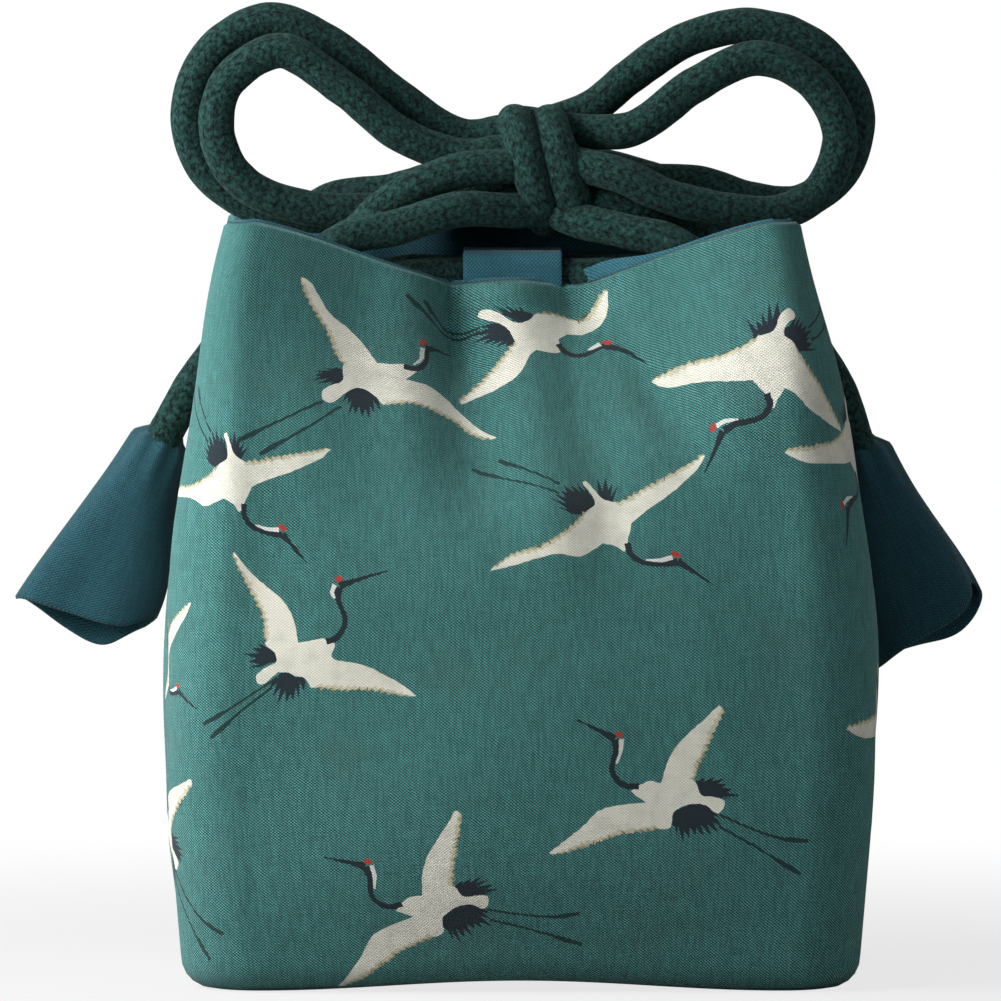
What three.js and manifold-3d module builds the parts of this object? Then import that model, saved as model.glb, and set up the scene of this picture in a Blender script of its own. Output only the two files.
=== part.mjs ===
// Kinchaku drawstring pouch: a printed cloth bag with a flat base, its lining, four cord loops at the
// mouth, two drawcords tied in one bow, and a cloth sleeve on the ends of each cord.
// Millimetres, +Z up, the front faces -Y. The origin is the middle of the flat base.
import * as THREE from "three";
import { mergeVertices } from "three/addons/utils/BufferGeometryUtils.js";
import Module from "manifold-3d";

const wasm = await Module();
wasm.setup();

// Bag: outside sizes at the base, at the belly and across the mouth's corners
const BASE_WIDTH = 150;
const BASE_DEPTH = 90;
const BELLY_WIDTH = 157.5;
const BELLY_DEPTH = 102;
const BELLY_HEIGHT = 68;
const MOUTH_WIDTH = 128;
const MOUTH_DEPTH = 72;
const BAG_HEIGHT = 170;
const BASE_EDGE_RADIUS = 6;
const BODY_CORNER_RADIUS = 17;
const MOUTH_CORNER_RADIUS = 6.5;

// Gathers: how far the cords draw each side of the mouth in and down, and where the fold starts
const FRONT_PINCH = 19;
const FRONT_DIP = 14;
const BACK_DIP = 4.5;
const SIDE_PINCH = 16.5;
const SIDE_DIP = 12;
const GATHER_START = 84;
const PLEAT_HEIGHT = 2.2;
// The gathered mouth stands a little to the left of the base
const MOUTH_SHIFT = -1.8;

// Cloth
const BAG_WALL = 1.6;
const LINING_WALL = 0.8;
const LINING_REVEAL = 1.2;
const CLEARANCE = 0.3;

// Cord loops sewn inside the mouth
const LOOP_CLOTH = 0.9;
const LOOP_SLACK = 0.7;
const FRONT_LOOP_WIDTH = 22;
const SIDE_LOOP_WIDTH = 8;
const SIDE_LOOP_BOW = 2.6;

// Drawcords
const CORD_DIAMETER = 8;
const CORD_SIDES = 8;
const CORD_SPACING = 8.8;

// Bow knot: a core with two turns of cord over it
const KNOT_CENTRE = new THREE.Vector3(6, -2, 25);
const KNOT_HALF_LENGTH = 13;
const KNOT_HALF_DEPTH = 10.4;
const KNOT_HALF_HEIGHT = 12;
const TURN_RADIUS = 11.5;
const TURN_FLATNESS = 0.86;
const TURN_SPACING = 7.6;
const TURN_LEAN = THREE.MathUtils.degToRad(-12);

// Cord-end sleeves
const SLEEVE_LENGTH = 50;
const SLEEVE_TOP_WIDTH = 13;
const SLEEVE_TOP_DEPTH = 19;
const SLEEVE_MOUTH_WIDTH = 25;
const SLEEVE_MOUTH_DEPTH = 15;
const SLEEVE_WALL = 1.2;
const SLEEVE_TOP_THICKNESS = 4;

// Mesh fineness
const FRONT_STEPS = 12;
const SIDE_STEPS = 6;
const CORNER_STEPS = 4;
const EDGE_STEPS = 3;
const WALL_STEPS = 11;
const SLEEVE_STEPS = 6;
const SLEEVE_SIDES = 24;

// The rim is lowest in the middle of the front: the cords are placed from that level.
const MOUTH_LEVEL = BAG_HEIGHT - FRONT_DIP;
const SIDE_SHARE = 0.8;
const HALF_TURN = Math.PI / 2;
const TINY = 1e-3;

const { clamp, lerp, smoothstep } = THREE.MathUtils;
const vector = (x, y, z) => new THREE.Vector3(x, y, z);

const OUTER_CLOTH = new THREE.MeshStandardMaterial({ color: 0x3f7f7a, roughness: 0.9, metalness: 0 });
const LINING_CLOTH = new THREE.MeshStandardMaterial({ color: 0x1f4258, roughness: 0.9, metalness: 0 });
const CORD_FIBRE = new THREE.MeshStandardMaterial({ color: 0x1f4a46, roughness: 0.95, metalness: 0 });
const SLEEVE_CLOTH = new THREE.MeshStandardMaterial({ color: 0x1f4b5e, roughness: 0.9, metalness: 0 });

// Solids

/** A three.js geometry as a solid for joining and cutting. */
function solidOf(geometry) {
  const bare = geometry.clone();
  bare.deleteAttribute("normal");
  bare.deleteAttribute("uv");
  const merged = mergeVertices(bare, TINY);
  return new wasm.Manifold(
    new wasm.Mesh({
      numProp: 3,
      vertProperties: merged.attributes.position.array,
      triVerts: new Uint32Array(merged.index.array),
    }),
  );
}

/** A joined or cut solid as a three.js geometry. */
function geometryOf(solid) {
  const mesh = solid.getMesh();
  return new THREE.BufferGeometry()
    .setAttribute("position", new THREE.BufferAttribute(new Float32Array(mesh.vertProperties), 3))
    .setIndex(new THREE.BufferAttribute(mesh.triVerts, 1));
}

/** A closed skin over rings of equally many points, with a fan over the first and the last ring. */
function closedLoft(rings) {
  const count = rings[0].length;
  const positions = rings.flat().flatMap((p) => p.toArray());
  const indices = [];
  for (let i = 0; i + 1 < rings.length; i++) {
    for (let j = 0; j < count; j++) {
      const here = i * count + j;
      const next = i * count + ((j + 1) % count);
      const k = (j + 1) % count;
      const rising = rings[i][j].distanceTo(rings[i + 1][k]);
      const falling = rings[i][k].distanceTo(rings[i + 1][j]);
      if (rising < falling) indices.push(here, next, next + count, here, next + count, here + count);
      else indices.push(here, next, here + count, next, next + count, here + count);
    }
  }
  const fan = (ring, first, turned) => {
    const middle = ring.reduce((sum, p) => sum.add(p), vector(0, 0, 0)).divideScalar(count);
    const hub = positions.length / 3;
    positions.push(...middle.toArray());
    for (let j = 0; j < count; j++) {
      const here = first + j;
      const next = first + ((j + 1) % count);
      indices.push(...(turned ? [hub, next, here] : [hub, here, next]));
    }
  };
  fan(rings[0], 0, true);
  fan(rings.at(-1), (rings.length - 1) * count, false);
  return new THREE.BufferGeometry()
    .setAttribute("position", new THREE.Float32BufferAttribute(positions, 3))
    .setIndex(indices);
}

// Bag surface

/** A half width or half depth of the bag at a height: it swells to the belly and narrows to the mouth. */
function halfSize(height, base, belly, mouth) {
  if (height < BELLY_HEIGHT) {
    return (base + (belly - base) * Math.sin((HALF_TURN * height) / BELLY_HEIGHT)) / 2;
  }
  const rise = (height - BELLY_HEIGHT) / (BAG_HEIGHT - BELLY_HEIGHT);
  return (mouth + (belly - mouth) * Math.cos(HALF_TURN * rise)) / 2;
}

/** How far the gather has closed at a height: 0 below the fold and 1 at the rim. */
const gatherAt = (height) => smoothstep(height, GATHER_START, BAG_HEIGHT) ** 1.15;

/** The fold across one side of the mouth: 1 along the cord loop, falling to 0 at the corners. */
function foldShape(place, flatShare, gather) {
  const straight = clamp((1 - Math.abs(place)) / (1 - flatShare), 0, 1);
  const crisp = lerp(straight, smoothstep(straight, 0, 1), 0.45);
  const soft = Math.cos(HALF_TURN * place) ** 2;
  return lerp(soft, crisp, gather);
}

/** A small ridge of slack cloth on each side of a cord loop. */
const pleatShape = (place) => Math.exp(-(((Math.abs(place) - 0.42) / 0.13) ** 2));

/**
 * A point of the bag's outside.
 * round: 0 to 4, one whole number for each side, front first, the last fifth of each being its corner.
 * rise: 0 to 1 round the base edge, 1 to 2 up the wall to the rim.
 */
function bagPoint(round, rise) {
  const edge = HALF_TURN * Math.min(rise, 1);
  const tuck = BASE_EDGE_RADIUS * (1 - Math.sin(edge));
  const height =
    rise < 1
      ? BASE_EDGE_RADIUS * (1 - Math.cos(edge))
      : lerp(BASE_EDGE_RADIUS, BAG_HEIGHT, rise - 1);
  const halfWidth = halfSize(height, BASE_WIDTH, BELLY_WIDTH, MOUTH_WIDTH) - tuck;
  const halfDepth = halfSize(height, BASE_DEPTH, BELLY_DEPTH, MOUTH_DEPTH) - tuck;
  const gather = gatherAt(height);
  const radius = lerp(BODY_CORNER_RADIUS, MOUTH_CORNER_RADIUS, gather) - tuck;

  const wrapped = (round + 4) % 4;
  const side = Math.floor(wrapped);
  const share = wrapped - side;
  const outward = vector(Math.sin(side * HALF_TURN), -Math.cos(side * HALF_TURN), 0);
  const along = vector(Math.cos(side * HALF_TURN), Math.sin(side * HALF_TURN), 0);
  const isFront = side % 2 === 0;
  const reach = isFront ? halfDepth : halfWidth;
  const run = (isFront ? halfWidth : halfDepth) - radius;
  if (share >= SIDE_SHARE) {
    const angle = (HALF_TURN * (share - SIDE_SHARE)) / (1 - SIDE_SHARE);
    return vector(MOUTH_SHIFT * gather, 0, height)
      .addScaledVector(along, run + radius * Math.sin(angle))
      .addScaledVector(outward, reach - radius + radius * Math.cos(angle));
  }
  const place = (2 * share) / SIDE_SHARE - 1;
  const loopWidth = isFront ? FRONT_LOOP_WIDTH : SIDE_LOOP_WIDTH;
  const fold = gather * foldShape(place, (loopWidth / 2 + 2) / run, gather);
  const pleat = isFront ? PLEAT_HEIGHT * gather ** 2 * pleatShape(place) : 0;
  const dip = isFront ? (side === 0 ? FRONT_DIP : BACK_DIP) : SIDE_DIP;
  return vector(MOUTH_SHIFT * gather, 0, height - fold * dip)
    .addScaledVector(along, place * run)
    .addScaledVector(outward, reach - fold * (isFront ? FRONT_PINCH : SIDE_PINCH) + pleat);
}

/** The point that lies inset millimetres inside the bag's outside surface. */
function insetPoint(round, rise, inset) {
  const across = bagPoint(round + TINY, rise).sub(bagPoint(round - TINY, rise));
  const low = bagPoint(round, Math.max(rise - TINY, 0));
  const up = bagPoint(round, rise + TINY).sub(low);
  return bagPoint(round, rise).addScaledVector(across.cross(up).normalize(), -inset);
}

/** Where the points of one ring lie round the bag. */
function ringPlaces() {
  const places = [];
  for (let side = 0; side < 4; side++) {
    const steps = side % 2 === 0 ? FRONT_STEPS : SIDE_STEPS;
    for (let i = 0; i < steps; i++) places.push(side + (SIDE_SHARE * i) / steps);
    for (let i = 0; i < CORNER_STEPS; i++) {
      places.push(side + SIDE_SHARE + ((1 - SIDE_SHARE) * i) / CORNER_STEPS);
    }
  }
  return places;
}

/** An open cloth shell that follows the bag: its wall lies between two insets, and may pass the rim. */
function clothShell(outerInset, innerInset, reveal) {
  const rises = [];
  for (let i = 0; i < EDGE_STEPS; i++) rises.push(i / EDGE_STEPS);
  for (let i = 0; i <= WALL_STEPS; i++) rises.push(1 + i / WALL_STEPS);
  if (reveal > 0) rises.push(2 + reveal / BAG_HEIGHT);
  const places = ringPlaces();
  const ringAt = (rise, inset) => places.map((round) => insetPoint(round, rise, inset));
  return closedLoft([
    ...rises.map((rise) => ringAt(rise, outerInset)),
    ...rises.toReversed().map((rise) => ringAt(rise, innerInset)),
  ]);
}

// Cord loops

/** A flattened ring of cloth round the cords: its opening is wide by high, and the cords run along it. */
function cordLoop(openingDepth, openingHeight, length) {
  const rounded = (path, halfDepth, halfHeight, radius) => {
    path.absarc(halfDepth - radius, halfHeight - radius, radius, 0, HALF_TURN);
    path.absarc(radius - halfDepth, halfHeight - radius, radius, HALF_TURN, 2 * HALF_TURN);
    path.absarc(radius - halfDepth, radius - halfHeight, radius, 2 * HALF_TURN, 3 * HALF_TURN);
    path.absarc(halfDepth - radius, radius - halfHeight, radius, 3 * HALF_TURN, 4 * HALF_TURN);
    path.closePath();
    return path;
  };
  const depth = openingDepth / 2;
  const height = openingHeight / 2;
  const corner = CORD_DIAMETER / 4;
  const outline = rounded(new THREE.Shape(), depth + LOOP_CLOTH, height + LOOP_CLOTH, corner + LOOP_CLOTH);
  outline.holes.push(rounded(new THREE.Path(), depth, height, corner));
  return new THREE.ExtrudeGeometry(outline, { depth: length, bevelEnabled: false, curveSegments: 3 })
    .translate(0, 0, -length / 2)
    .rotateX(HALF_TURN);
}

// Drawcords

const FRONT_REACH = MOUTH_DEPTH / 2 - FRONT_PINCH;
const SIDE_REACH = MOUTH_WIDTH / 2 - SIDE_PINCH;
const CLOTH_STACK = BAG_WALL + LINING_WALL + 2 * CLEARANCE;
const LOOP_OPENING = CORD_DIAMETER + 2 * LOOP_SLACK;
const SIDE_LOOP_OPENING = LOOP_OPENING + SIDE_LOOP_BOW;

// The two cords cross each front loop one above the other, and turn back at the loop on the far side.
const UPPER_LEVEL = 1.5;
const LOWER_LEVEL = UPPER_LEVEL - CORD_SPACING;
const LOOP_Y = FRONT_REACH - CLOTH_STACK - LOOP_CLOTH - LOOP_OPENING / 2;
const LOOP_X = SIDE_REACH - CLOTH_STACK - LOOP_CLOTH - SIDE_LOOP_OPENING / 2;

/** The turn that a cord makes through the front loop, the far side loop and the back loop. */
function turnThroughLoops(farSide, level) {
  const front = FRONT_LOOP_WIDTH / 2;
  const side = SIDE_LOOP_WIDTH / 2;
  const half = [
    [-farSide * front, -LOOP_Y],
    [0, -LOOP_Y],
    [farSide * front, -LOOP_Y],
    [farSide * (LOOP_X - 10), -side - 7],
    [farSide * (LOOP_X - 1), -side - 2],
  ];
  const back = half.toReversed().map(([x, y]) => [x, -y]);
  return [...half, [farSide * (LOOP_X + 0.6), 0], ...back].map(([x, y]) => [MOUTH_SHIFT + x, y, level]);
}

// Heights in these routes are measured from the lowest point of the rim.
const LEFT_CORD_RUN = [
  [4, -8, 17],
  [-14, -15.5, 16.5],
  [-28, -18, 12.5],
  [-38, -19.5, 10.5],
  [-44, -21, 6],
  [-41, -21, 0.6],
  [-31, -17.5, 0.4],
  [-23.4, -12, 1.4],
  ...turnThroughLoops(1, UPPER_LEVEL),
  [-24.2, 12.3, 1.4],
  [-34, 18.5, 0.4],
  [-43, 19.5, 2],
  [-44.5, 12, 5.5],
  [-43, 2, 6.8],
  [-38, -7, 9.8],
  [-28, -11.5, 18.8],
  [-14, -11.5, 25],
  [4, -8.8, 26.4],
];
const RIGHT_CORD_RUN = [
  [9, -8, 15.5],
  [22, -15.5, 12],
  [33, -18.5, 9.5],
  [41, -20.5, 3.5],
  [38.5, -20.5, -4.5],
  [30, -17, -8.7],
  [19, -12, -8.2],
  ...turnThroughLoops(-1, LOWER_LEVEL),
  [20.5, 13, -9],
  [32.5, 18, -8.5],
  [40.5, 20, -3.5],
  [41.5, 14, 6],
  [37.5, 4, 13.4],
  [30, -5, 15],
  [20, -7.5, 17],
  [10, -4, 20],
];

// The bow's ears: each is a doubled cord, one strand outside and behind the other.
const LEFT_EAR_OUTER = [
  [3, 2.5, 34],
  [-13, 5.6, 32.2],
  [-28, 5.5, 41.5],
  [-42, 4.5, 52.5],
  [-56, 4, 58.4],
  [-69, 4, 51.5],
  [-74.6, 4.5, 38],
  [-70.5, 6, 24.5],
  [-57, 8, 15.5],
  [-38, 9.5, 14.5],
  [-14, 10.2, 15.5],
  [4, 3, 18.5],
];
const LEFT_EAR_INNER = [
  [3, -3.5, 30],
  [-13, -2.5, 28],
  [-27, -3.5, 33],
  [-40, -4, 43.5],
  [-54, -4, 51.6],
  [-65.5, -4, 44.5],
  [-68, -3.5, 33],
  [-62, -2.5, 22],
  [-48, -1, 16.4],
  [-32, 0.5, 15.8],
  [-14, 0.4, 18.2],
  [3, -2.5, 23],
];
const RIGHT_EAR_OUTER = [
  [8, 2, 33.5],
  [15.5, 4, 38.5],
  [24, 5.5, 45.2],
  [37, 5.5, 53.8],
  [52, 5, 57],
  [67, 4.5, 51.5],
  [75.4, 4.5, 38],
  [72.5, 6, 25],
  [63, 8, 17.4],
  [52, 8.5, 18],
  [40, 9, 21.5],
  [26, 9, 22],
  [8, 2.5, 23.5],
];
const RIGHT_EAR_INNER = [
  [8, -4.5, 31],
  [24, -4.5, 34],
  [39, -4, 44],
  [53, -4, 50],
  [65.5, -4, 44.5],
  [71.4, -4, 33],
  [67, -4.5, 20.5],
  [58, -7, 15.6],
  [47, -10.5, 16],
  [33, -13, 19.3],
  [21, -13.5, 24.5],
  [9, -7, 26],
];

// The tails: from the back of the knot over the back rim, down behind a back corner to the sleeve.
const LEFT_TAIL_NEAR = [
  [0, 2, 26],
  [-2, 13, 26.5],
  [-13, 22, 24.2],
  [-28, 29.5, 19.4],
  [-44, 38, 16.4],
  [-58, 45.5, 4.5],
  [-67.5, 47.5, -9.5],
];
const LEFT_TAIL_FAR = [
  [6.8, 2, 14.6],
  [5.5, 13, 15.4],
  [-3, 25, 16],
  [-21, 35.8, 14],
  [-39.5, 46, 10.5],
  [-55, 54, 1],
  [-66.5, 56.2, -11.5],
];
const RIGHT_TAIL_NEAR = [
  [8.6, 2, 26.5],
  [9, 13, 27],
  [23, 22, 24],
  [37, 29.5, 19.6],
  [49, 38, 17],
  [60, 46, 4.5],
  [67.5, 48, -10],
];
const RIGHT_TAIL_FAR = [
  [13.5, 2, 15],
  [14.5, 13, 15.4],
  [20, 25, 15.8],
  [32, 35.8, 13.8],
  [45, 46, 10.5],
  [57.5, 54.5, 0.5],
  [66.5, 56.6, -12],
];

/** A stretch of cord along a route. */
function cordStretch(route, steps) {
  const path = new THREE.CatmullRomCurve3(route.map((point) => vector(...point)));
  const section = new THREE.Shape().absarc(0, 0, CORD_DIAMETER / 2, 0, 2 * Math.PI);
  return new THREE.ExtrudeGeometry(section, { steps, curveSegments: CORD_SIDES / 2, extrudePath: path });
}

/** The tied knot, with its surface moved out by grow. */
function knotSolid(grow) {
  const core = new THREE.SphereGeometry(1, 20, 12)
    .scale(KNOT_HALF_LENGTH + grow, KNOT_HALF_DEPTH + grow, KNOT_HALF_HEIGHT + grow);
  let knot = solidOf(core);
  for (const side of [-1, 1]) {
    const turn = new THREE.TorusGeometry(TURN_RADIUS, CORD_DIAMETER / 2 + grow, CORD_SIDES, 20)
      .rotateY(HALF_TURN)
      .scale(1, TURN_FLATNESS, 1)
      .rotateY(TURN_LEAN)
      .translate((side * TURN_SPACING) / 2, 0, 0);
    knot = knot.add(solidOf(turn));
  }
  return knot.translate(KNOT_CENTRE.toArray());
}

const KNOT = knotSolid(0);
const KNOT_SEAT = knotSolid(CLEARANCE);

/** A stretch of cord that starts or ends in the knot, cut where it meets it. */
function cordFromKnot(route, steps) {
  const pieces = solidOf(cordStretch(route, steps)).subtract(KNOT_SEAT).decompose();
  const longest = pieces.reduce((best, piece) => (piece.volume() > best.volume() ? piece : best));
  return geometryOf(longest);
}

// Cord-end sleeves

/** A cloth sleeve that hangs from its top at the origin: closed over the cords and open below. */
function sleeve() {
  const ring = (drop, inset) => {
    const share = smoothstep(drop / SLEEVE_LENGTH, -0.15, 1.1);
    const halfWidth = lerp(SLEEVE_TOP_WIDTH, SLEEVE_MOUTH_WIDTH, share) / 2 - inset;
    const halfDepth = lerp(SLEEVE_TOP_DEPTH, SLEEVE_MOUTH_DEPTH, share) / 2 - inset;
    return Array.from({ length: SLEEVE_SIDES }, (_, i) => {
      const angle = (2 * Math.PI * i) / SLEEVE_SIDES;
      return vector(halfWidth * Math.cos(angle), halfDepth * Math.sin(angle), -drop);
    });
  };
  const drops = Array.from(
    { length: SLEEVE_STEPS + 1 },
    (_, i) => SLEEVE_TOP_THICKNESS + ((SLEEVE_LENGTH - SLEEVE_TOP_THICKNESS) * i) / SLEEVE_STEPS,
  );
  return closedLoft([
    ...drops.map((drop) => ring(drop, SLEEVE_WALL)),
    ...drops.toReversed().map((drop) => ring(drop, 0)),
    ring(1, 0),
    ring(0, 1),
  ]);
}

/** Where a sleeve hangs: its top's middle, from the rim's level, and how far it leans out. */
const LEFT_SLEEVE = { top: vector(-80.7, 52, -36.4), lean: THREE.MathUtils.degToRad(29) };
const RIGHT_SLEEVE = { top: vector(76.5, 52, -38.3), lean: THREE.MathUtils.degToRad(-18.5) };

/** The end of a tail, which runs straight into the top of its sleeve. */
function tailEnd(hang, strand) {
  const axis = vector(Math.sin(hang.lean), 0, Math.cos(hang.lean));
  const start = hang.top.clone().add(vector(0, (strand * CORD_SPACING) / 2, 0));
  return [12, CLEARANCE].map((rise) => start.clone().addScaledVector(axis, rise).toArray());
}

// The pouch

const pouch = new THREE.Group();
const cords = new THREE.Group();
cords.position.z = MOUTH_LEVEL;
pouch.add(cords);

/** Adds a named piece to a group and returns it, to be placed. */
function addPiece(group, name, geometry, material) {
  const piece = new THREE.Mesh(geometry, material);
  piece.name = name;
  group.add(piece);
  return piece;
}

const liningInset = BAG_WALL + CLEARANCE;
addPiece(pouch, "outer_bag", clothShell(0, BAG_WALL, 0), OUTER_CLOTH);
addPiece(
  pouch,
  "lining",
  clothShell(liningInset, liningInset + LINING_WALL, LINING_REVEAL),
  LINING_CLOTH,
);

const loopMiddle = (UPPER_LEVEL + LOWER_LEVEL) / 2;
for (const [name, side] of [["front_cord_loop", -1], ["back_cord_loop", 1]]) {
  const geometry = cordLoop(LOOP_OPENING, LOOP_OPENING + CORD_SPACING, FRONT_LOOP_WIDTH);
  const loop = addPiece(cords, name, geometry, LINING_CLOTH);
  loop.rotation.z = HALF_TURN;
  loop.position.set(MOUTH_SHIFT, side * LOOP_Y, loopMiddle);
}
for (const [name, side, level] of [["left_cord_loop", -1, LOWER_LEVEL], ["right_cord_loop", 1, UPPER_LEVEL]]) {
  const geometry = cordLoop(SIDE_LOOP_OPENING, LOOP_OPENING, SIDE_LOOP_WIDTH);
  const loop = addPiece(cords, name, geometry, LINING_CLOTH);
  loop.position.set(MOUTH_SHIFT + side * LOOP_X, 0, level);
}

addPiece(cords, "bow_knot", geometryOf(KNOT), CORD_FIBRE);
const EAR_STEPS = 11;
const TAIL_STEPS = 8;
const RUN_STEPS = 30;
for (const [name, route, steps] of [
  ["left_cord_run", LEFT_CORD_RUN, RUN_STEPS],
  ["right_cord_run", RIGHT_CORD_RUN, RUN_STEPS],
  ["left_ear_outer", LEFT_EAR_OUTER, EAR_STEPS],
  ["left_ear_inner", LEFT_EAR_INNER, EAR_STEPS],
  ["right_ear_outer", RIGHT_EAR_OUTER, EAR_STEPS],
  ["right_ear_inner", RIGHT_EAR_INNER, EAR_STEPS],
  ["left_tail_near", [...LEFT_TAIL_NEAR, ...tailEnd(LEFT_SLEEVE, -1)], TAIL_STEPS],
  ["left_tail_far", [...LEFT_TAIL_FAR, ...tailEnd(LEFT_SLEEVE, 1)], TAIL_STEPS],
  ["right_tail_near", [...RIGHT_TAIL_NEAR, ...tailEnd(RIGHT_SLEEVE, -1)], TAIL_STEPS],
  ["right_tail_far", [...RIGHT_TAIL_FAR, ...tailEnd(RIGHT_SLEEVE, 1)], TAIL_STEPS],
]) {
  addPiece(cords, name, cordFromKnot(route, steps), CORD_FIBRE);
}
for (const [name, hang] of [["left_sleeve", LEFT_SLEEVE], ["right_sleeve", RIGHT_SLEEVE]]) {
  const piece = addPiece(cords, name, sleeve(), SLEEVE_CLOTH);
  piece.position.copy(hang.top);
  piece.rotation.y = hang.lean;
}

export default pouch;
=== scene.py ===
"""Drawstring pouch: printed cloth bag, lining, cord loops, two cords tied in a bow and cord-end sleeves."""

import logging
import math
from dataclasses import dataclass
from enum import Enum
from typing import Callable, ClassVar, Sequence

import bpy
import numpy as np
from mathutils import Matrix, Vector
from mathutils.geometry import delaunay_2d_cdt


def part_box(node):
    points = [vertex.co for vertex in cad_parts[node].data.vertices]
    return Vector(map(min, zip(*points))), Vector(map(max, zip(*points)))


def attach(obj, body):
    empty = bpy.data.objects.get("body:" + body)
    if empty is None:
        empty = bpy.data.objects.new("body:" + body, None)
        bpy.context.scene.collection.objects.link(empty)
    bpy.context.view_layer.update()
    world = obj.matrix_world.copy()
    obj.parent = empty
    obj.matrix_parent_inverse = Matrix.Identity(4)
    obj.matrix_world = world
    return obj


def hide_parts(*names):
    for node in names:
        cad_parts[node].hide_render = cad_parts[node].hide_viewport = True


LOG = logging.getLogger("pouch")
MM = 0.001
QUARTER_TURN = math.pi / 2
ROOT = "root"

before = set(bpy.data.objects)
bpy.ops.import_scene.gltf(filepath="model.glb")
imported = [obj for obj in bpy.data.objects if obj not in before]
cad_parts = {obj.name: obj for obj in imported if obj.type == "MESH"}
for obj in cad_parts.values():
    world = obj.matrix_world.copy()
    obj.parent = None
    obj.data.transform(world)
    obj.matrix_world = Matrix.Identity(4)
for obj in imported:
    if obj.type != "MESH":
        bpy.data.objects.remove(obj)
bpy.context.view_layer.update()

Point = tuple[float, float]
Place = tuple[float, float, float]
Colour = tuple[float, float, float]
Route = Sequence[Place]
Surface = Callable[[np.ndarray, np.ndarray], np.ndarray]
Piece = bpy.types.Object
Socket = bpy.types.NodeSocket


class Ink(Enum):
    """The inks of the print: linear colour, and the layer that each is printed on."""

    LEG = (0.010, 0.032, 0.032, 0)
    PLUME = (0.012, 0.016, 0.026, 1)
    WING_EDGE = (0.40, 0.37, 0.23, 2)
    WING_SHADE = (0.62, 0.58, 0.43, 3)
    FEATHER = (0.80, 0.785, 0.69, 4)
    FLECK = (0.13, 0.12, 0.07, 5)
    NECK = (0.011, 0.015, 0.022, 6)
    CHEEK = (0.74, 0.75, 0.72, 7)
    CAP = (0.46, 0.046, 0.034, 8)

    @property
    def colour(self) -> Colour:
        """The ink's linear colour."""
        return self.value[:3]

    @property
    def layer(self) -> int:
        """The ink's place in the order of printing."""
        return self.value[3]


class Side(Enum):
    """The four sides of the bag: the direction that each faces, and the axis along it."""

    FRONT = ((0.0, -1.0), (1.0, 0.0))
    RIGHT = ((1.0, 0.0), (0.0, 1.0))
    BACK = ((0.0, 1.0), (-1.0, 0.0))
    LEFT = ((-1.0, 0.0), (0.0, -1.0))


# Meshes


def smooth_between(value: np.ndarray, low: float, high: float) -> np.ndarray:
    """A smooth step from 0 at low to 1 at high.

    Args:
        value: The numbers to place on the step.
        low: Where the step starts.
        high: Where the step ends.

    Returns:
        The height of the step at each number.
    """
    share = np.clip((value - low) / (high - low), 0.0, 1.0)
    return share * share * (3.0 - 2.0 * share)


def rise_and_fall(value: np.ndarray, stops: Sequence[float]) -> np.ndarray:
    """A smooth rise from 0 to 1 between the first two of four stops, and a fall between the last two."""
    return smooth_between(value, *stops[:2]) * (1.0 - smooth_between(value, *stops[2:]))


def unit(vectors: np.ndarray) -> np.ndarray:
    """The same vectors at a length of one."""
    return vectors / np.linalg.norm(vectors, axis=-1, keepdims=True)


def reach_along(points: np.ndarray) -> np.ndarray:
    """The distance along a line of points, from the first one to each of them."""
    return np.concatenate([[0.0], np.cumsum(np.linalg.norm(np.diff(points, axis=0), axis=1))])


def shade_smooth(mesh: bpy.types.Mesh) -> None:
    """Shades every face of a mesh smooth."""
    mesh.polygons.foreach_set("use_smooth", np.ones(len(mesh.polygons), dtype=bool))


def new_object(name: str, vertices: np.ndarray, faces: np.ndarray, corner_uv: np.ndarray) -> Piece:
    """Makes a smooth mesh object at the origin.

    Args:
        name: The object's name.
        vertices: Vertex places in metres, one row each.
        faces: Vertex numbers, one row for each face.
        corner_uv: Flat cloth places in metres, one row for each face corner.

    Returns:
        The new object, linked to the scene.
    """
    mesh = bpy.data.meshes.new(name)
    mesh.from_pydata(vertices.tolist(), [], faces.tolist())
    layer = mesh.uv_layers.new(name="UVMap")
    layer.data.foreach_set("uv", corner_uv.astype(np.float32).ravel())
    shade_smooth(mesh)
    mesh.update()
    piece = bpy.data.objects.new(name, mesh)
    bpy.context.scene.collection.objects.link(piece)
    return piece


def grid_object(name: str, points: np.ndarray, uv: np.ndarray) -> Piece:
    """Makes a mesh object from a grid of points, with its last column joined to the first.

    Args:
        name: The object's name.
        points: Places in metres, by row and column.
        uv: Flat cloth places, by row and column, with one more column than points.

    Returns:
        The new object.
    """
    rows, columns = points.shape[:2]
    row, column = (ids.ravel() for ids in np.meshgrid(np.arange(rows - 1), np.arange(columns), indexing="ij"))
    after = (column + 1) % columns
    low = row * columns
    high = low + columns
    faces = np.stack([low + column, low + after, high + after, high + column], axis=1)
    corners = np.stack(
        [uv[row, column], uv[row, column + 1], uv[row + 1, column + 1], uv[row + 1, column]], axis=1
    )
    return new_object(name, points.reshape(-1, 3), faces, corners.reshape(-1, 2))


def apply_modifier(piece: Piece, kind: str, **settings: object) -> None:
    """Adds one modifier to a piece and applies it.

    Args:
        piece: The piece to change.
        kind: The modifier's type.
        **settings: Values for the modifier.
    """
    bpy.ops.object.select_all(action="DESELECT")
    bpy.context.view_layer.objects.active = piece
    piece.select_set(True)
    modifier = piece.modifiers.new(kind.title(), kind)
    for key, value in settings.items():
        setattr(modifier, key, value)
    bpy.ops.object.modifier_apply(modifier=modifier.name)
    piece.select_set(False)


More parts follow.
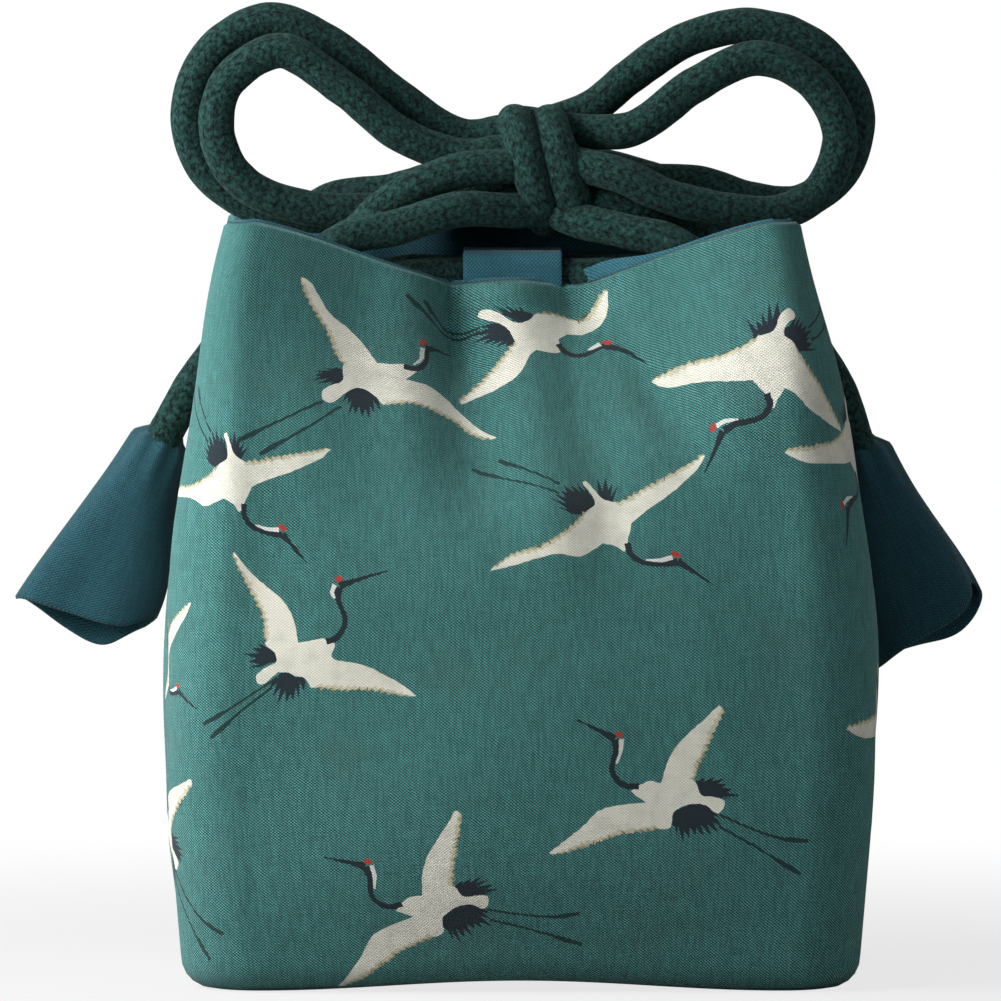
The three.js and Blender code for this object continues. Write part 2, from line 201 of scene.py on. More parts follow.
def smooth_route(points: np.ndarray, spacing: float) -> np.ndarray:
    """Runs one smooth curve through points and spaces new points evenly along it.

    Args:
        points: The points to pass, in order.
        spacing: The distance between the new points.

    Returns:
        The new points.
    """
    padded = np.vstack([2 * points[0] - points[1], points, 2 * points[-1] - points[-2]])
    dense = []
    for i in range(1, len(padded) - 2):
        p0, p1, p2, p3 = padded[i - 1 : i + 3]
        t0 = 0.0
        t1 = t0 + np.linalg.norm(p1 - p0) ** 0.5
        t2 = t1 + np.linalg.norm(p2 - p1) ** 0.5
        t3 = t2 + np.linalg.norm(p3 - p2) ** 0.5
        t = np.linspace(t1, t2, 24, endpoint=False)[:, None]
        a1 = (t1 - t) / (t1 - t0) * p0 + (t - t0) / (t1 - t0) * p1
        a2 = (t2 - t) / (t2 - t1) * p1 + (t - t1) / (t2 - t1) * p2
        a3 = (t3 - t) / (t3 - t2) * p2 + (t - t2) / (t3 - t2) * p3
        b1 = (t2 - t) / (t2 - t0) * a1 + (t - t0) / (t2 - t0) * a2
        b2 = (t3 - t) / (t3 - t1) * a2 + (t - t1) / (t3 - t1) * a3
        dense.append((t2 - t) / (t2 - t1) * b1 + (t - t1) / (t2 - t1) * b2)
    curve = np.vstack(dense + [padded[-2][None]])
    reach = reach_along(curve)
    count = max(int(round(reach[-1] / spacing)), 2)
    even = np.linspace(0.0, reach[-1], count + 1)
    return np.stack([np.interp(even, reach, curve[:, k]) for k in range(points.shape[1])], axis=1)


# Finishes


class NodeSheet:
    """Adds shader nodes to one material or world and joins them."""

    def __init__(self, owner: bpy.types.Material | bpy.types.World) -> None:
        """Starts with the nodes that a new material or world has.

        Args:
            owner: The material or world.
        """
        owner.use_nodes = True
        self.nodes = owner.node_tree.nodes
        self.links = owner.node_tree.links

    def add(self, kind: str, **settings: object) -> bpy.types.Node:
        """Adds a node of a kind, with its settings.

        Args:
            kind: The node's type.
            **settings: Values for the node.

        Returns:
            The new node.
        """
        node = self.nodes.new(kind)
        for key, value in settings.items():
            setattr(node, key, value)
        return node

    def put(self, socket: Socket, value: object) -> None:
        """Joins an output to a socket, or sets the socket to a plain value.

        Args:
            socket: The input.
            value: The output or the plain value.
        """
        if isinstance(value, Socket):
            self.links.new(value, socket)
        else:
            socket.default_value = value

    def fill(self, node: bpy.types.Node, values: dict[str | int, object]) -> bpy.types.Node:
        """Joins or sets inputs of a node.

        Args:
            node: The node.
            values: Outputs or plain values, by the names or numbers of the inputs.

        Returns:
            The same node.
        """
        for key, value in values.items():
            self.put(node.inputs[key], value)
        return node

    def surface(self, values: dict[str | int, object]) -> bpy.types.Node:
        """Joins or sets inputs of the material's surface shader, and gives the shader back."""
        return self.fill(self.nodes["Principled BSDF"], values)

    def math(self, operation: str, first: object, second: object = 0.0, third: object = 0.0) -> Socket:
        """Adds a math node.

        Args:
            operation: The math node's operation.
            first: The first number or output.
            second: The second number or output.
            third: The third number or output.

        Returns:
            The node's output.
        """
        node = self.add("ShaderNodeMath", operation=operation)
        return self.fill(node, {0: first, 1: second, 2: third}).outputs[0]

    def ramp(self, value: object, low: float, high: float, start: float = 0.0, end: float = 1.0) -> Socket:
        """Adds a smooth map from one range of numbers to another.

        Args:
            value: The number to map.
            low: The lowest number in.
            high: The highest number in.
            start: What low becomes.
            end: What high becomes.

        Returns:
            The node's output.
        """
        node = self.add("ShaderNodeMapRange", interpolation_type="SMOOTHSTEP")
        return self.fill(node, {0: value, 1: low, 2: high, 3: start, 4: end}).outputs[0]

    def between(self, share: object, first: object, second: object) -> Socket:
        """Adds a number between two others, by the share of the second."""
        node = self.add("ShaderNodeMix", data_type="FLOAT")
        return self.fill(node, {0: share, 2: first, 3: second}).outputs[0]

    def mix(self, share: object, first: object, second: object, blend: str = "MIX") -> Socket:
        """Adds a colour mix.

        Args:
            share: How much of the second colour is used.
            first: The first colour.
            second: The second colour.
            blend: The way of mixing.

        Returns:
            The mixed colour's output.
        """
        node = self.add("ShaderNodeMix", data_type="RGBA", blend_type=blend)
        return self.fill(node, {0: share, 6: first, 7: second}).outputs[2]

    def noise(self, vector: object, scale: float, detail: float = 2.0, roughness: float = 0.5) -> Socket:
        """Adds a noise texture.

        Args:
            vector: Where the noise is read.
            scale: How fine it is.
            detail: How many finer layers it has.
            roughness: How strong they are.

        Returns:
            The noise's number.
        """
        node = self.add("ShaderNodeTexNoise", noise_dimensions="3D")
        self.fill(node, {"Vector": vector, "Scale": scale, "Detail": detail, "Roughness": roughness})
        return node.outputs["Fac"]

    def point(self, x: object, y: object, z: object = 0.0) -> Socket:
        """Adds a vector made from three numbers."""
        return self.fill(self.add("ShaderNodeCombineXYZ"), {0: x, 1: y, 2: z}).outputs[0]

    def grey(self, level: object) -> Socket:
        """Adds a colour with the same level in all three channels."""
        return self.point(level, level, level)

    def flat_place(self) -> tuple[Socket, Socket]:
        """Reads the flat cloth place, in metres, from the piece's own map.

        Returns:
            The places across and up the cloth.
        """
        uv = self.add("ShaderNodeUVMap", uv_map="UVMap")
        parts = self.fill(self.add("ShaderNodeSeparateXYZ"), {0: uv.outputs[0]})
        return parts.outputs[0], parts.outputs[1]

    def bump(self, height: object, strength: float, distance: float, under: object = None) -> Socket:
        """Adds a relief.

        Args:
            height: The relief's height.
            strength: How much of it shows.
            distance: Its depth in metres.
            under: A relief that it is laid over.

        Returns:
            The normal.
        """
        node = self.add("ShaderNodeBump")
        self.fill(node, {"Height": height, "Strength": strength, "Distance": distance})
        if under is not None:
            self.put(node.inputs["Normal"], under)
        return node.outputs[0]


@dataclass(frozen=True)
class WovenFinish:
    """Woven cloth with slubby threads that lie in fine slanting rows, printed or plain.

    Colours are linear. Pitches are the distances between threads, in metres, and the waver is in threads.
    Scales of the waver, the wear and the soil are per metre, and those of the slubs are per thread. Gap is
    the share of colour left in the painted shade between threads.
    """

    name: str
    shade: Colour
    light: Colour
    fleck: Colour
    warp_pitch: float
    weft_pitch: float
    gap: float = 0.7
    relief: float = 0.00016
    printed: bool = False
    sheen: float = 0.08
    roughness: float = 0.92
    waver: float = 1.1
    waver_scale: float = 210.0
    falling_share: float = 0.6
    slub_scale: float = 1.1
    slub_stretch: float = 0.07
    wear: float = 0.45
    wear_scale: float = 46.0
    soil_scale: float = 190.0
    ink_cover: float = 0.86
    ink_shade: float = 0.86

    def build(self) -> bpy.types.Material:
        """Makes the material.

        Returns:
            The woven material.
        """
        material = bpy.data.materials.new(self.name)
        sheet = NodeSheet(material)
        across, up = sheet.flat_place()
        waver = sheet.math("MULTIPLY", sheet.noise(sheet.point(across, up), self.waver_scale), self.waver)
        warp = sheet.math("ADD", sheet.math("MULTIPLY", across, 1.0 / self.warp_pitch), waver)
        weft = sheet.math("ADD", sheet.math("MULTIPLY", up, 1.0 / self.weft_pitch), waver)
        falling = sheet.math("COSINE", sheet.math("MULTIPLY", sheet.math("ADD", warp, weft), math.pi))
        rising = sheet.math("COSINE", sheet.math("MULTIPLY", sheet.math("SUBTRACT", warp, weft), math.pi))
        rising = sheet.math("MULTIPLY", rising, 1.0 - self.falling_share)
        cross = sheet.math("MULTIPLY_ADD", falling, self.falling_share, rising)
        crown = sheet.ramp(cross, -0.75, 0.55)
        tone = self._tone(sheet, warp, weft, cross)

        cloth = sheet.mix(tone, (*self.shade, 1.0), (*self.light, 1.0))
        worn = sheet.noise(sheet.point(across, up, 5.0), self.wear_scale, 4.0, 0.62)
        cloth = sheet.mix(sheet.ramp(worn, 0.5, 0.78, 0.0, self.wear), cloth, (*self.fleck, 1.0))
        # Painted shade: the colour darkens from the crown of each thread into the gaps between threads, down
        # to a share of gap at the deepest.
        depth = sheet.math("MULTIPLY_ADD", crown, 1.0 - self.gap, self.gap)
        if self.printed:
            ink = sheet.add("ShaderNodeVertexColor", layer_name="ink").outputs
            soil = sheet.noise(sheet.point(across, up, 2.0), self.soil_scale, 4.0, 0.6)
            grain = sheet.math("MULTIPLY_ADD", tone, 0.2, self.ink_shade)
            grain = sheet.math("MULTIPLY", grain, sheet.ramp(soil, 0.3, 0.6, 0.84, 1.0))
            inked = sheet.mix(1.0, ink["Color"], sheet.grey(grain), "MULTIPLY")
            cover = sheet.math("MULTIPLY_ADD", crown, 1.0 - self.ink_cover, self.ink_cover)
            cloth = sheet.mix(sheet.math("MULTIPLY", ink["Alpha"], cover), cloth, inked)
            # Painted shade under the ink is kept light: where ink lies, the gaps darken by no more than 1 -
            # ink_cover.
            depth = sheet.math("MAXIMUM", depth, sheet.math("MULTIPLY", ink["Alpha"], self.ink_cover))
        slub = sheet.math("MULTIPLY_ADD", tone, 0.35, crown)
        # The base colour is multiplied by the painted shade between threads.
        sheet.surface(
            {
                "Base Color": sheet.mix(1.0, cloth, sheet.grey(depth), "MULTIPLY"),
                "Roughness": self.roughness,
                "Specular IOR Level": 0.18,
                "Sheen Weight": self.sheen,
                "Sheen Roughness": 0.5,
                "Normal": sheet.bump(slub, 0.85, self.relief),
            }
        )
        return material

    def _tone(self, sheet: NodeSheet, warp: Socket, weft: Socket, cross: Socket) -> Socket:
        """The tone of the thread on top, whose slubs run along it.

        Args:
            sheet: The material's nodes.
            warp: The place across the cloth, in threads.
            weft: The place up the cloth, in threads.
            cross: The wave that brings one thread or the other to the top.

        Returns:
            The tone, from 0 to 1.
        """
        slow_warp = sheet.math("MULTIPLY", warp, self.slub_stretch)
        slow_weft = sheet.math("MULTIPLY", weft, self.slub_stretch)
        warp_slub = sheet.noise(sheet.point(warp, slow_weft, 3.0), self.slub_scale, 2.0, 0.6)
        weft_slub = sheet.noise(sheet.point(slow_warp, weft, 9.0), self.slub_scale, 2.0, 0.6)
        weft_tone = sheet.ramp(weft_slub, 0.25, 0.75, 0.0, 0.55)
        warp_tone = sheet.ramp(warp_slub, 0.25, 0.75, 0.4, 1.0)
        return sheet.between(sheet.ramp(cross, -0.3, 0.4), weft_tone, warp_tone)


@dataclass(frozen=True)
class KnitFinish:
    """Soft knitted cord: the stitches hardly show under a thick, mottled nap.

    Columns and rows of stitches are in metres, and scales are per metre.
    """

    name: str
    shade: Colour
    light: Colour
    column: float
    row: float
    nap_scale: float = 620.0
    fuzz_scale: float = 2400.0
    stitch_slope: float = 0.62
    sheen_tint: Colour = (0.35, 0.62, 0.58)

    def build(self) -> bpy.types.Material:
        """Makes the material.

        Returns:
            The knitted material.
        """
        material = bpy.data.materials.new(self.name)
        sheet = NodeSheet(material)
        along, around = sheet.flat_place()
        nap = sheet.noise(sheet.point(along, around), self.nap_scale, 4.0, 0.72)
        column = sheet.math("MULTIPLY", around, 1.0 / self.column)
        column = sheet.math("ADD", column, sheet.math("MULTIPLY", nap, 0.25))
        off_middle = sheet.math("SUBTRACT", sheet.math("FRACT", column), 0.5)
        side = sheet.math("MULTIPLY", sheet.math("ABSOLUTE", off_middle), 2.0)
        slope = sheet.math("MULTIPLY", side, self.stitch_slope)
        row = sheet.math("MULTIPLY_ADD", along, 1.0 / self.row, slope)
        loop = sheet.math("ABSOLUTE", sheet.math("SINE", sheet.math("MULTIPLY", row, math.pi)))
        leg = sheet.ramp(side, 0.75, 1.0, 1.0, 0.35)
        stitch = sheet.math("MULTIPLY", sheet.math("POWER", loop, 0.6), leg)
        fuzz = sheet.noise(sheet.point(along, around, 4.0), self.fuzz_scale, 2.0, 0.7)
        blend = sheet.math("MULTIPLY_ADD", nap, 0.85, sheet.math("MULTIPLY", stitch, 0.13))
        blend = sheet.math("MULTIPLY_ADD", fuzz, 0.3, blend)
        under = sheet.bump(stitch, 0.3, 0.0004)
        height = sheet.math("MULTIPLY_ADD", fuzz, 0.5, nap)
        tone = sheet.ramp(blend, 0.48, 0.90)
        sheet.surface(
            {
                "Base Color": sheet.mix(tone, (*self.shade, 1.0), (*self.light, 1.0)),
                "Roughness": 0.95,
                "Specular IOR Level": 0.12,
                "Sheen Weight": 0.08,
                "Sheen Roughness": 0.45,
                "Sheen Tint": (*self.sheen_tint, 1.0),
                "Normal": sheet.bump(height, 0.9, 0.0006, under),
            }
        )
        return material


@dataclass(frozen=True)
class Finishes:
    """The materials of the pouch."""

    printed_cloth: bpy.types.Material
    lining_cloth: bpy.types.Material
    sleeve_cloth: bpy.types.Material
    cord_knit: bpy.types.Material

    @classmethod
    def build(cls) -> "Finishes":
        """Makes every material.

        Returns:
            The finished set.
        """
        return cls(
            printed_cloth=WovenFinish(
                name="printed_cloth",
                shade=(0.008, 0.066, 0.065),
                light=(0.110, 0.360, 0.342),
                fleck=(0.070, 0.170, 0.155),
                warp_pitch=0.00041,
                weft_pitch=0.00032,
                gap=0.22,
                printed=True,
            ).build(),
            lining_cloth=WovenFinish(
                name="lining_cloth",
                shade=(0.012, 0.062, 0.088),
                light=(0.038, 0.150, 0.196),
                fleck=(0.030, 0.110, 0.140),
                warp_pitch=0.00042,
                weft_pitch=0.00042,
                relief=0.00008,
            ).build(),
            sleeve_cloth=WovenFinish(
                name="sleeve_cloth",
                shade=(0.005, 0.030, 0.042),
                light=(0.021, 0.092, 0.118),
                fleck=(0.006, 0.028, 0.038),
                warp_pitch=0.00040,
                weft_pitch=0.00040,
                relief=0.00008,
            ).build(),
            cord_knit=KnitFinish(
                name="cord_knit",
                shade=(0.0008, 0.0036, 0.0033),
                light=(0.020, 0.066, 0.060),
                column=0.0025,
                row=0.0019,
            ).build(),
        )


# Bag


@dataclass(frozen=True)
class Crease:
    """A soft fold in one side of the bag, from one point to another, along the side and up, in metres.

    FADE says where the fold rises and falls, in shares of the way from its start to its end.
    """

    FADE: ClassVar[tuple[float, ...]] = (-0.4, 0.25, 0.55, 1.35)

    side: Side
    start: Point
    end: Point
    height: float
    width: float

    def lift(self, along: np.ndarray, up: np.ndarray) -> np.ndarray:
        """How far the fold lifts the cloth at each place.

        Args:
            along: Places along the side.
            up: Heights.

        Returns:
            The lift in metres.
        """
        start = np.array(self.start)
        run = np.array(self.end) - start
        length = np.linalg.norm(run)
        course = ((along - start[0]) * run[0] + (up - start[1]) * run[1]) / length
        off = ((along - start[0]) * run[1] - (up - start[1]) * run[0]) / length
        return self.height * rise_and_fall(course / length, self.FADE) * np.exp(-((off / self.width) ** 2))


@dataclass(frozen=True)
class BagForm:
    """The bag's outside surface: the solid's form, with the swell and the soft folds of filled cloth on it.

    Sizes are in metres. A place along a side runs from -1 to 1 between its corners. Each fade holds four
    heights: the form rises between the first two and falls between the last two.
    """

    base_width: float = 0.150
    base_depth: float = 0.090
    belly_width: float = 0.1575
    belly_depth: float = 0.102
    belly_height: float = 0.068
    mouth_width: float = 0.128
    mouth_depth: float = 0.072
    height: float = 0.170
    base_edge: float = 0.006
    body_corner: float = 0.017
    mouth_corner: float = 0.0065
    front_pinch: float = 0.019
    front_dip: float = 0.014
    back_dip: float = 0.0045
    side_pinch: float = 0.0165
    side_dip: float = 0.012
    gather_start: float = 0.084
    gather_power: float = 1.15
    crisp_share: float = 0.55
    pleat_height: float = 0.0022
    pleat_place: float = 0.42
    pleat_spread: float = 0.13
    mouth_shift: float = -0.0018
    belly_bulge: float = 0.0030
    side_bulge: float = 0.0012
    belly_fade: tuple[float, ...] = (0.0, 0.035, 0.09, 0.165)
    base_roll: float = 0.0026
    roll_fade: tuple[float, ...] = (0.0, 0.026, 0.028, 0.085)
    base_arch: float = 0.0022
    arch_height: float = 0.04
    sway: float = 0.00045
    front_loop: float = 0.022
    side_loop: float = 0.008
    loop_margin: float = 0.002
    side_share: float = 0.8
    creases: tuple[Crease, ...] = ()

    @property
    def side_lengths(self) -> tuple[float, float, float]:
        """The flat lengths of the front, of a corner and of a side, at the belly.

        Returns:
            The three lengths in metres.
        """
        front = self.belly_width - 2 * self.body_corner
        side = self.belly_depth - 2 * self.body_corner
        return front, self.body_corner * QUARTER_TURN, side

    @property
    def girth(self) -> float:
        """The flat length round the bag."""
        front, corner, side = self.side_lengths
        return 2 * (front + side) + 4 * corner

    @property
    def edge_length(self) -> float:
        """The flat length round the base edge."""
        return self.base_edge * QUARTER_TURN

    @property
    def rim_up(self) -> float:
        """The flat height of the rim."""
        return self.edge_length + self.height - self.base_edge

    def around_of(self, across: np.ndarray) -> np.ndarray:
        """Turns flat places, from the middle of the front, into places round the bag, one for each side.

        Args:
            across: Flat places in metres.

        Returns:
            Places round the bag, from 0 to 4.
        """
        front, corner, side = self.side_lengths
        stops = np.cumsum([0.0, front, corner, side, corner, front, corner, side, corner])
        marks = [number + share for number in range(4) for share in (0.0, self.side_share)] + [4.0]
        return np.interp(np.mod(across + front / 2, self.girth), stops, marks)

    def rise_of(self, up: np.ndarray) -> np.ndarray:
        """Turns flat heights into rises: 0 to 1 round the base edge and 1 to 2 up the wall.

        Args:
            up: Flat heights in metres.

        Returns:
            The rises.
        """
        wall = 1.0 + (up - self.edge_length) / (self.height - self.base_edge)
        return np.where(up < self.edge_length, up / self.edge_length, wall)

    def _half(self, height: np.ndarray, base: float, belly: float, mouth: float) -> np.ndarray:
        """A half width or half depth at each height.

        Args:
            height: Heights in metres.
            base: The whole width or depth at the base.
            belly: The same at the belly.
            mouth: The same at the mouth.

        Returns:
            The halves in metres.
        """
        low = base + (belly - base) * np.sin(QUARTER_TURN * np.minimum(height / self.belly_height, 1.0))
        rise = (height - self.belly_height) / (self.height - self.belly_height)
        high = mouth + (belly - mouth) * np.cos(QUARTER_TURN * np.maximum(rise, 0.0))
        return np.where(height < self.belly_height, low, high) / 2

    def _fold(self, place: np.ndarray, gather: np.ndarray, flat: np.ndarray) -> np.ndarray:
        """How far each place is drawn in at the mouth: 0 at a corner, and 1 on the flat stretch at a loop.

        Args:
            place: Places along a side, from -1 to 1.
            gather: How far the cloth is gathered at each height, from 0 to 1.
            flat: The share of half the side that lies flat at a loop.

        Returns:
            The shares.
        """
        straight = np.clip((1 - np.abs(place)) / (1 - flat), 0.0, 1.0)
        crisp = self.crisp_share * straight + (1 - self.crisp_share) * smooth_between(straight, 0.0, 1.0)
        soft = np.cos(QUARTER_TURN * np.clip(place, -1, 1)) ** 2
        return gather * (soft + (crisp - soft) * gather)

    def _swell(self, place: np.ndarray, height: np.ndarray, side: np.ndarray) -> np.ndarray:
        """How far the filled bag swells: its belly on every side, and a roll above the front's base edge.

        Args:
            place: Places along a side, from -1 to 1.
            height: Heights in metres.
            side: The number of the side, 0 for the front.

        Returns:
            The swell in metres.
        """
        belly = np.where(np.mod(side, 2) == 0, self.belly_bulge, self.side_bulge)
        belly = belly * rise_and_fall(height, self.belly_fade) * np.cos(QUARTER_TURN * place) ** 2
        roll = np.where(side == 0, self.base_roll, 0.0) * rise_and_fall(height, self.roll_fade)
        return belly + roll * (1 - np.clip(place, -1, 1) ** 4)

    def _smooth_point(self, around: np.ndarray, rise: np.ndarray) -> np.ndarray:
        """Places on the bag without its soft folds.

        Args:
            around: Places round the bag, from 0 to 4.
            rise: Rises, from 0 to 2 at the rim.

        Returns:
            The places in metres.
        """
        edge = QUARTER_TURN * np.minimum(rise, 1.0)
        tuck = self.base_edge * (1 - np.sin(edge))
        wall = self.base_edge + (self.height - self.base_edge) * (rise - 1.0)
        height = np.where(rise < 1.0, self.base_edge * (1 - np.cos(edge)), wall)
        half_width = self._half(height, self.base_width, self.belly_width, self.mouth_width) - tuck
        half_depth = self._half(height, self.base_depth, self.belly_depth, self.mouth_depth) - tuck
        gather = smooth_between(height, self.gather_start, self.height) ** self.gather_power
        radius = self.body_corner + (self.mouth_corner - self.body_corner) * gather - tuck
        wrapped = np.mod(around, 4.0)
        side = np.floor(wrapped)
        share = wrapped - side
        turn = side * QUARTER_TURN
        wide = np.mod(side, 2) == 0
        reach = np.where(wide, half_depth, half_width)
        run = np.where(wide, half_width, half_depth) - radius
        angle = QUARTER_TURN * (share - self.side_share) / (1 - self.side_share)
        place = 2 * share / self.side_share - 1
        flat = (np.where(wide, self.front_loop, self.side_loop) / 2 + self.loop_margin) / run
        fold = self._fold(place, gather, flat)
        pleat = np.where(wide, self.pleat_height, 0.0) * gather**2
        pleat = pleat * np.exp(-(((np.abs(place) - self.pleat_place) / self.pleat_spread) ** 2))
        drawn = reach - fold * np.where(wide, self.front_pinch, self.side_pinch) + pleat
        corner = share >= self.side_share
        along = np.where(corner, run + radius * np.sin(angle), place * run)
        rounded = reach - radius + radius * np.cos(angle)
        out = np.where(corner, rounded, drawn + self._swell(place, height, side))
        dip = np.where(wide, np.where(side == 0, self.front_dip, self.back_dip), self.side_dip)
        arch = np.where(side == 0, self.base_arch, 0.0) * np.cos(QUARTER_TURN * np.clip(place, -1, 1)) ** 2
        arch = arch * (1 - smooth_between(height, 0.0, self.arch_height))
        up = np.where(corner, height, height - fold * dip + arch)
        x = along * np.cos(turn) + out * np.sin(turn) + self.mouth_shift * gather
        y = along * np.sin(turn) - out * np.cos(turn)
        return np.stack([x, y, up], axis=-1)

    def _lift(self, place: np.ndarray, normal: np.ndarray) -> np.ndarray:
        """How far the soft folds, and a slight unevenness, lift the cloth.

        Args:
            place: Places in metres.
            normal: Outward directions there.

        Returns:
            The lift in metres.
        """
        x, y, z = place[..., 0], place[..., 1], place[..., 2]
        lift = np.zeros_like(x)
        for side in Side:
            facing, axis = side.value
            share = np.clip(normal[..., 0] * facing[0] + normal[..., 1] * facing[1], 0.0, 1.0) ** 2
            along = x * axis[0] + y * axis[1]
            for crease in self.creases:
                if crease.side is side:
                    lift += share * crease.lift(along, z)
        uneven = np.sin(61 * x + 35 * z + 1.3) * np.sin(47 * y - 52 * z + 0.4)
        uneven = uneven + 0.6 * np.sin(118 * z - 73 * x + 90 * y)
        return lift + self.sway * uneven * smooth_between(z, 0.004, 0.05)

    def _facing(self, surface: Surface, around: np.ndarray, rise: np.ndarray, step: float) -> np.ndarray:
        """Outward directions on a surface, from places a step to each side.

        Args:
            surface: Gives the places on the surface.
            around: Places round the bag, from 0 to 4.
            rise: Rises, from 0 to 2 at the rim.
            step: The step round the bag and up it.

        Returns:
            Unit vectors.
        """
        across = surface(around + step, rise) - surface(around - step, rise)
        upward = surface(around, rise + step) - surface(around, np.maximum(rise - step, 0.0))
        return unit(np.cross(across, upward))

    def point(self, around: np.ndarray, rise: np.ndarray, inset: np.ndarray | float = 0.0) -> np.ndarray:
        """Places on the bag, or inside its surface.

        Args:
            around: Places round the bag, from 0 to 4.
            rise: Rises, from 0 to 2 at the rim.
            inset: How far inside the surface, in metres.

        Returns:
            The places in metres.
        """
        place = self._smooth_point(around, rise)
        normal = self._facing(self._smooth_point, around, rise, 2e-3)
        lift = self._lift(place, normal) - inset
        return place + normal * lift[..., None]

    def normal(self, around: np.ndarray, rise: np.ndarray) -> np.ndarray:
        """Outward directions on the bag with its soft folds.

        Args:
            around: Places round the bag, from 0 to 4.
            rise: Rises, from 0 to 2 at the rim.

        Returns:
            Unit vectors.
        """
        return self._facing(self.point, around, rise, 4e-3)


SOFT_FOLDS = (
    Crease(Side.FRONT, (-0.0030, 0.1540), (0.0060, 0.1220), 0.0046, 0.0085),
    Crease(Side.FRONT, (0.0110, 0.1565), (0.0370, 0.1240), -0.0056, 0.0056),
    Crease(Side.FRONT, (-0.0150, 0.1570), (-0.0130, 0.1360), -0.0048, 0.0046),
    Crease(Side.FRONT, (-0.0130, 0.1420), (-0.0080, 0.1080), -0.0028, 0.0060),
    Crease(Side.FRONT, (-0.0230, 0.1540), (-0.0240, 0.1080), 0.0026, 0.0075),
    Crease(Side.FRONT, (-0.0100, 0.1535), (0.0050, 0.1535), 0.0016, 0.0028),
    Crease(Side.FRONT, (0.0020, 0.1300), (0.0090, 0.0940), 0.0022, 0.0070),
    Crease(Side.FRONT, (0.0170, 0.1220), (0.0210, 0.0960), -0.0016, 0.0055),
    Crease(Side.FRONT, (-0.0620, 0.1500), (-0.0680, 0.0700), 0.0010, 0.0050),
    Crease(Side.FRONT, (-0.0480, 0.1400), (-0.0420, 0.0600), 0.0009, 0.0110),
    Crease(Side.FRONT, (0.0500, 0.1600), (0.0560, 0.1120), 0.0026, 0.0130),
    Crease(Side.FRONT, (0.0600, 0.1480), (0.0680, 0.0800), 0.0010, 0.0055),
    Crease(Side.FRONT, (0.0380, 0.0950), (0.0460, 0.0420), 0.0007, 0.0100),
    Crease(Side.BACK, (0.012, 0.150), (0.028, 0.122), 0.0018, 0.0065),
    Crease(Side.BACK, (-0.012, 0.150), (-0.030, 0.120), 0.0020, 0.0065),
    Crease(Side.BACK, (0.030, 0.150), (0.046, 0.120), -0.0012, 0.0060),
    Crease(Side.LEFT, (0.004, 0.152), (0.002, 0.110), -0.0022, 0.0055),
    Crease(Side.LEFT, (0.016, 0.150), (0.024, 0.118), 0.0014, 0.0060),
    Crease(Side.RIGHT, (-0.002, 0.152), (0.002, 0.108), -0.0022, 0.0055),
    Crease(Side.RIGHT, (-0.016, 0.150), (-0.024, 0.118), 0.0014, 0.0060),
)
FORM = BagForm(creases=SOFT_FOLDS)


# Print


@dataclass(frozen=True)
class Wing:
    """A wing's two edges, each from the tip to the body, in millimetres."""

    leading: tuple[Point, ...]
    trailing: tuple[Point, ...]


@dataclass(frozen=True)
class Crane:
    """A crane in flight, as a few plain shapes: millimetres from the middle of its body, x right and y up.

    The cap is given by its middle and one end, and the beak by points from its root to its tip.
    """

    wings: tuple[Wing, Wing]
    body: tuple[Point, ...]
    plumes: tuple[tuple[Point, ...], tuple[Point, ...]]
    neck: tuple[Point, ...]
    nape: tuple[Point, ...]
    cap: tuple[Point, Point]
    beak: tuple[Point, ...]
    legs: tuple[tuple[Point, ...], tuple[Point, ...]]


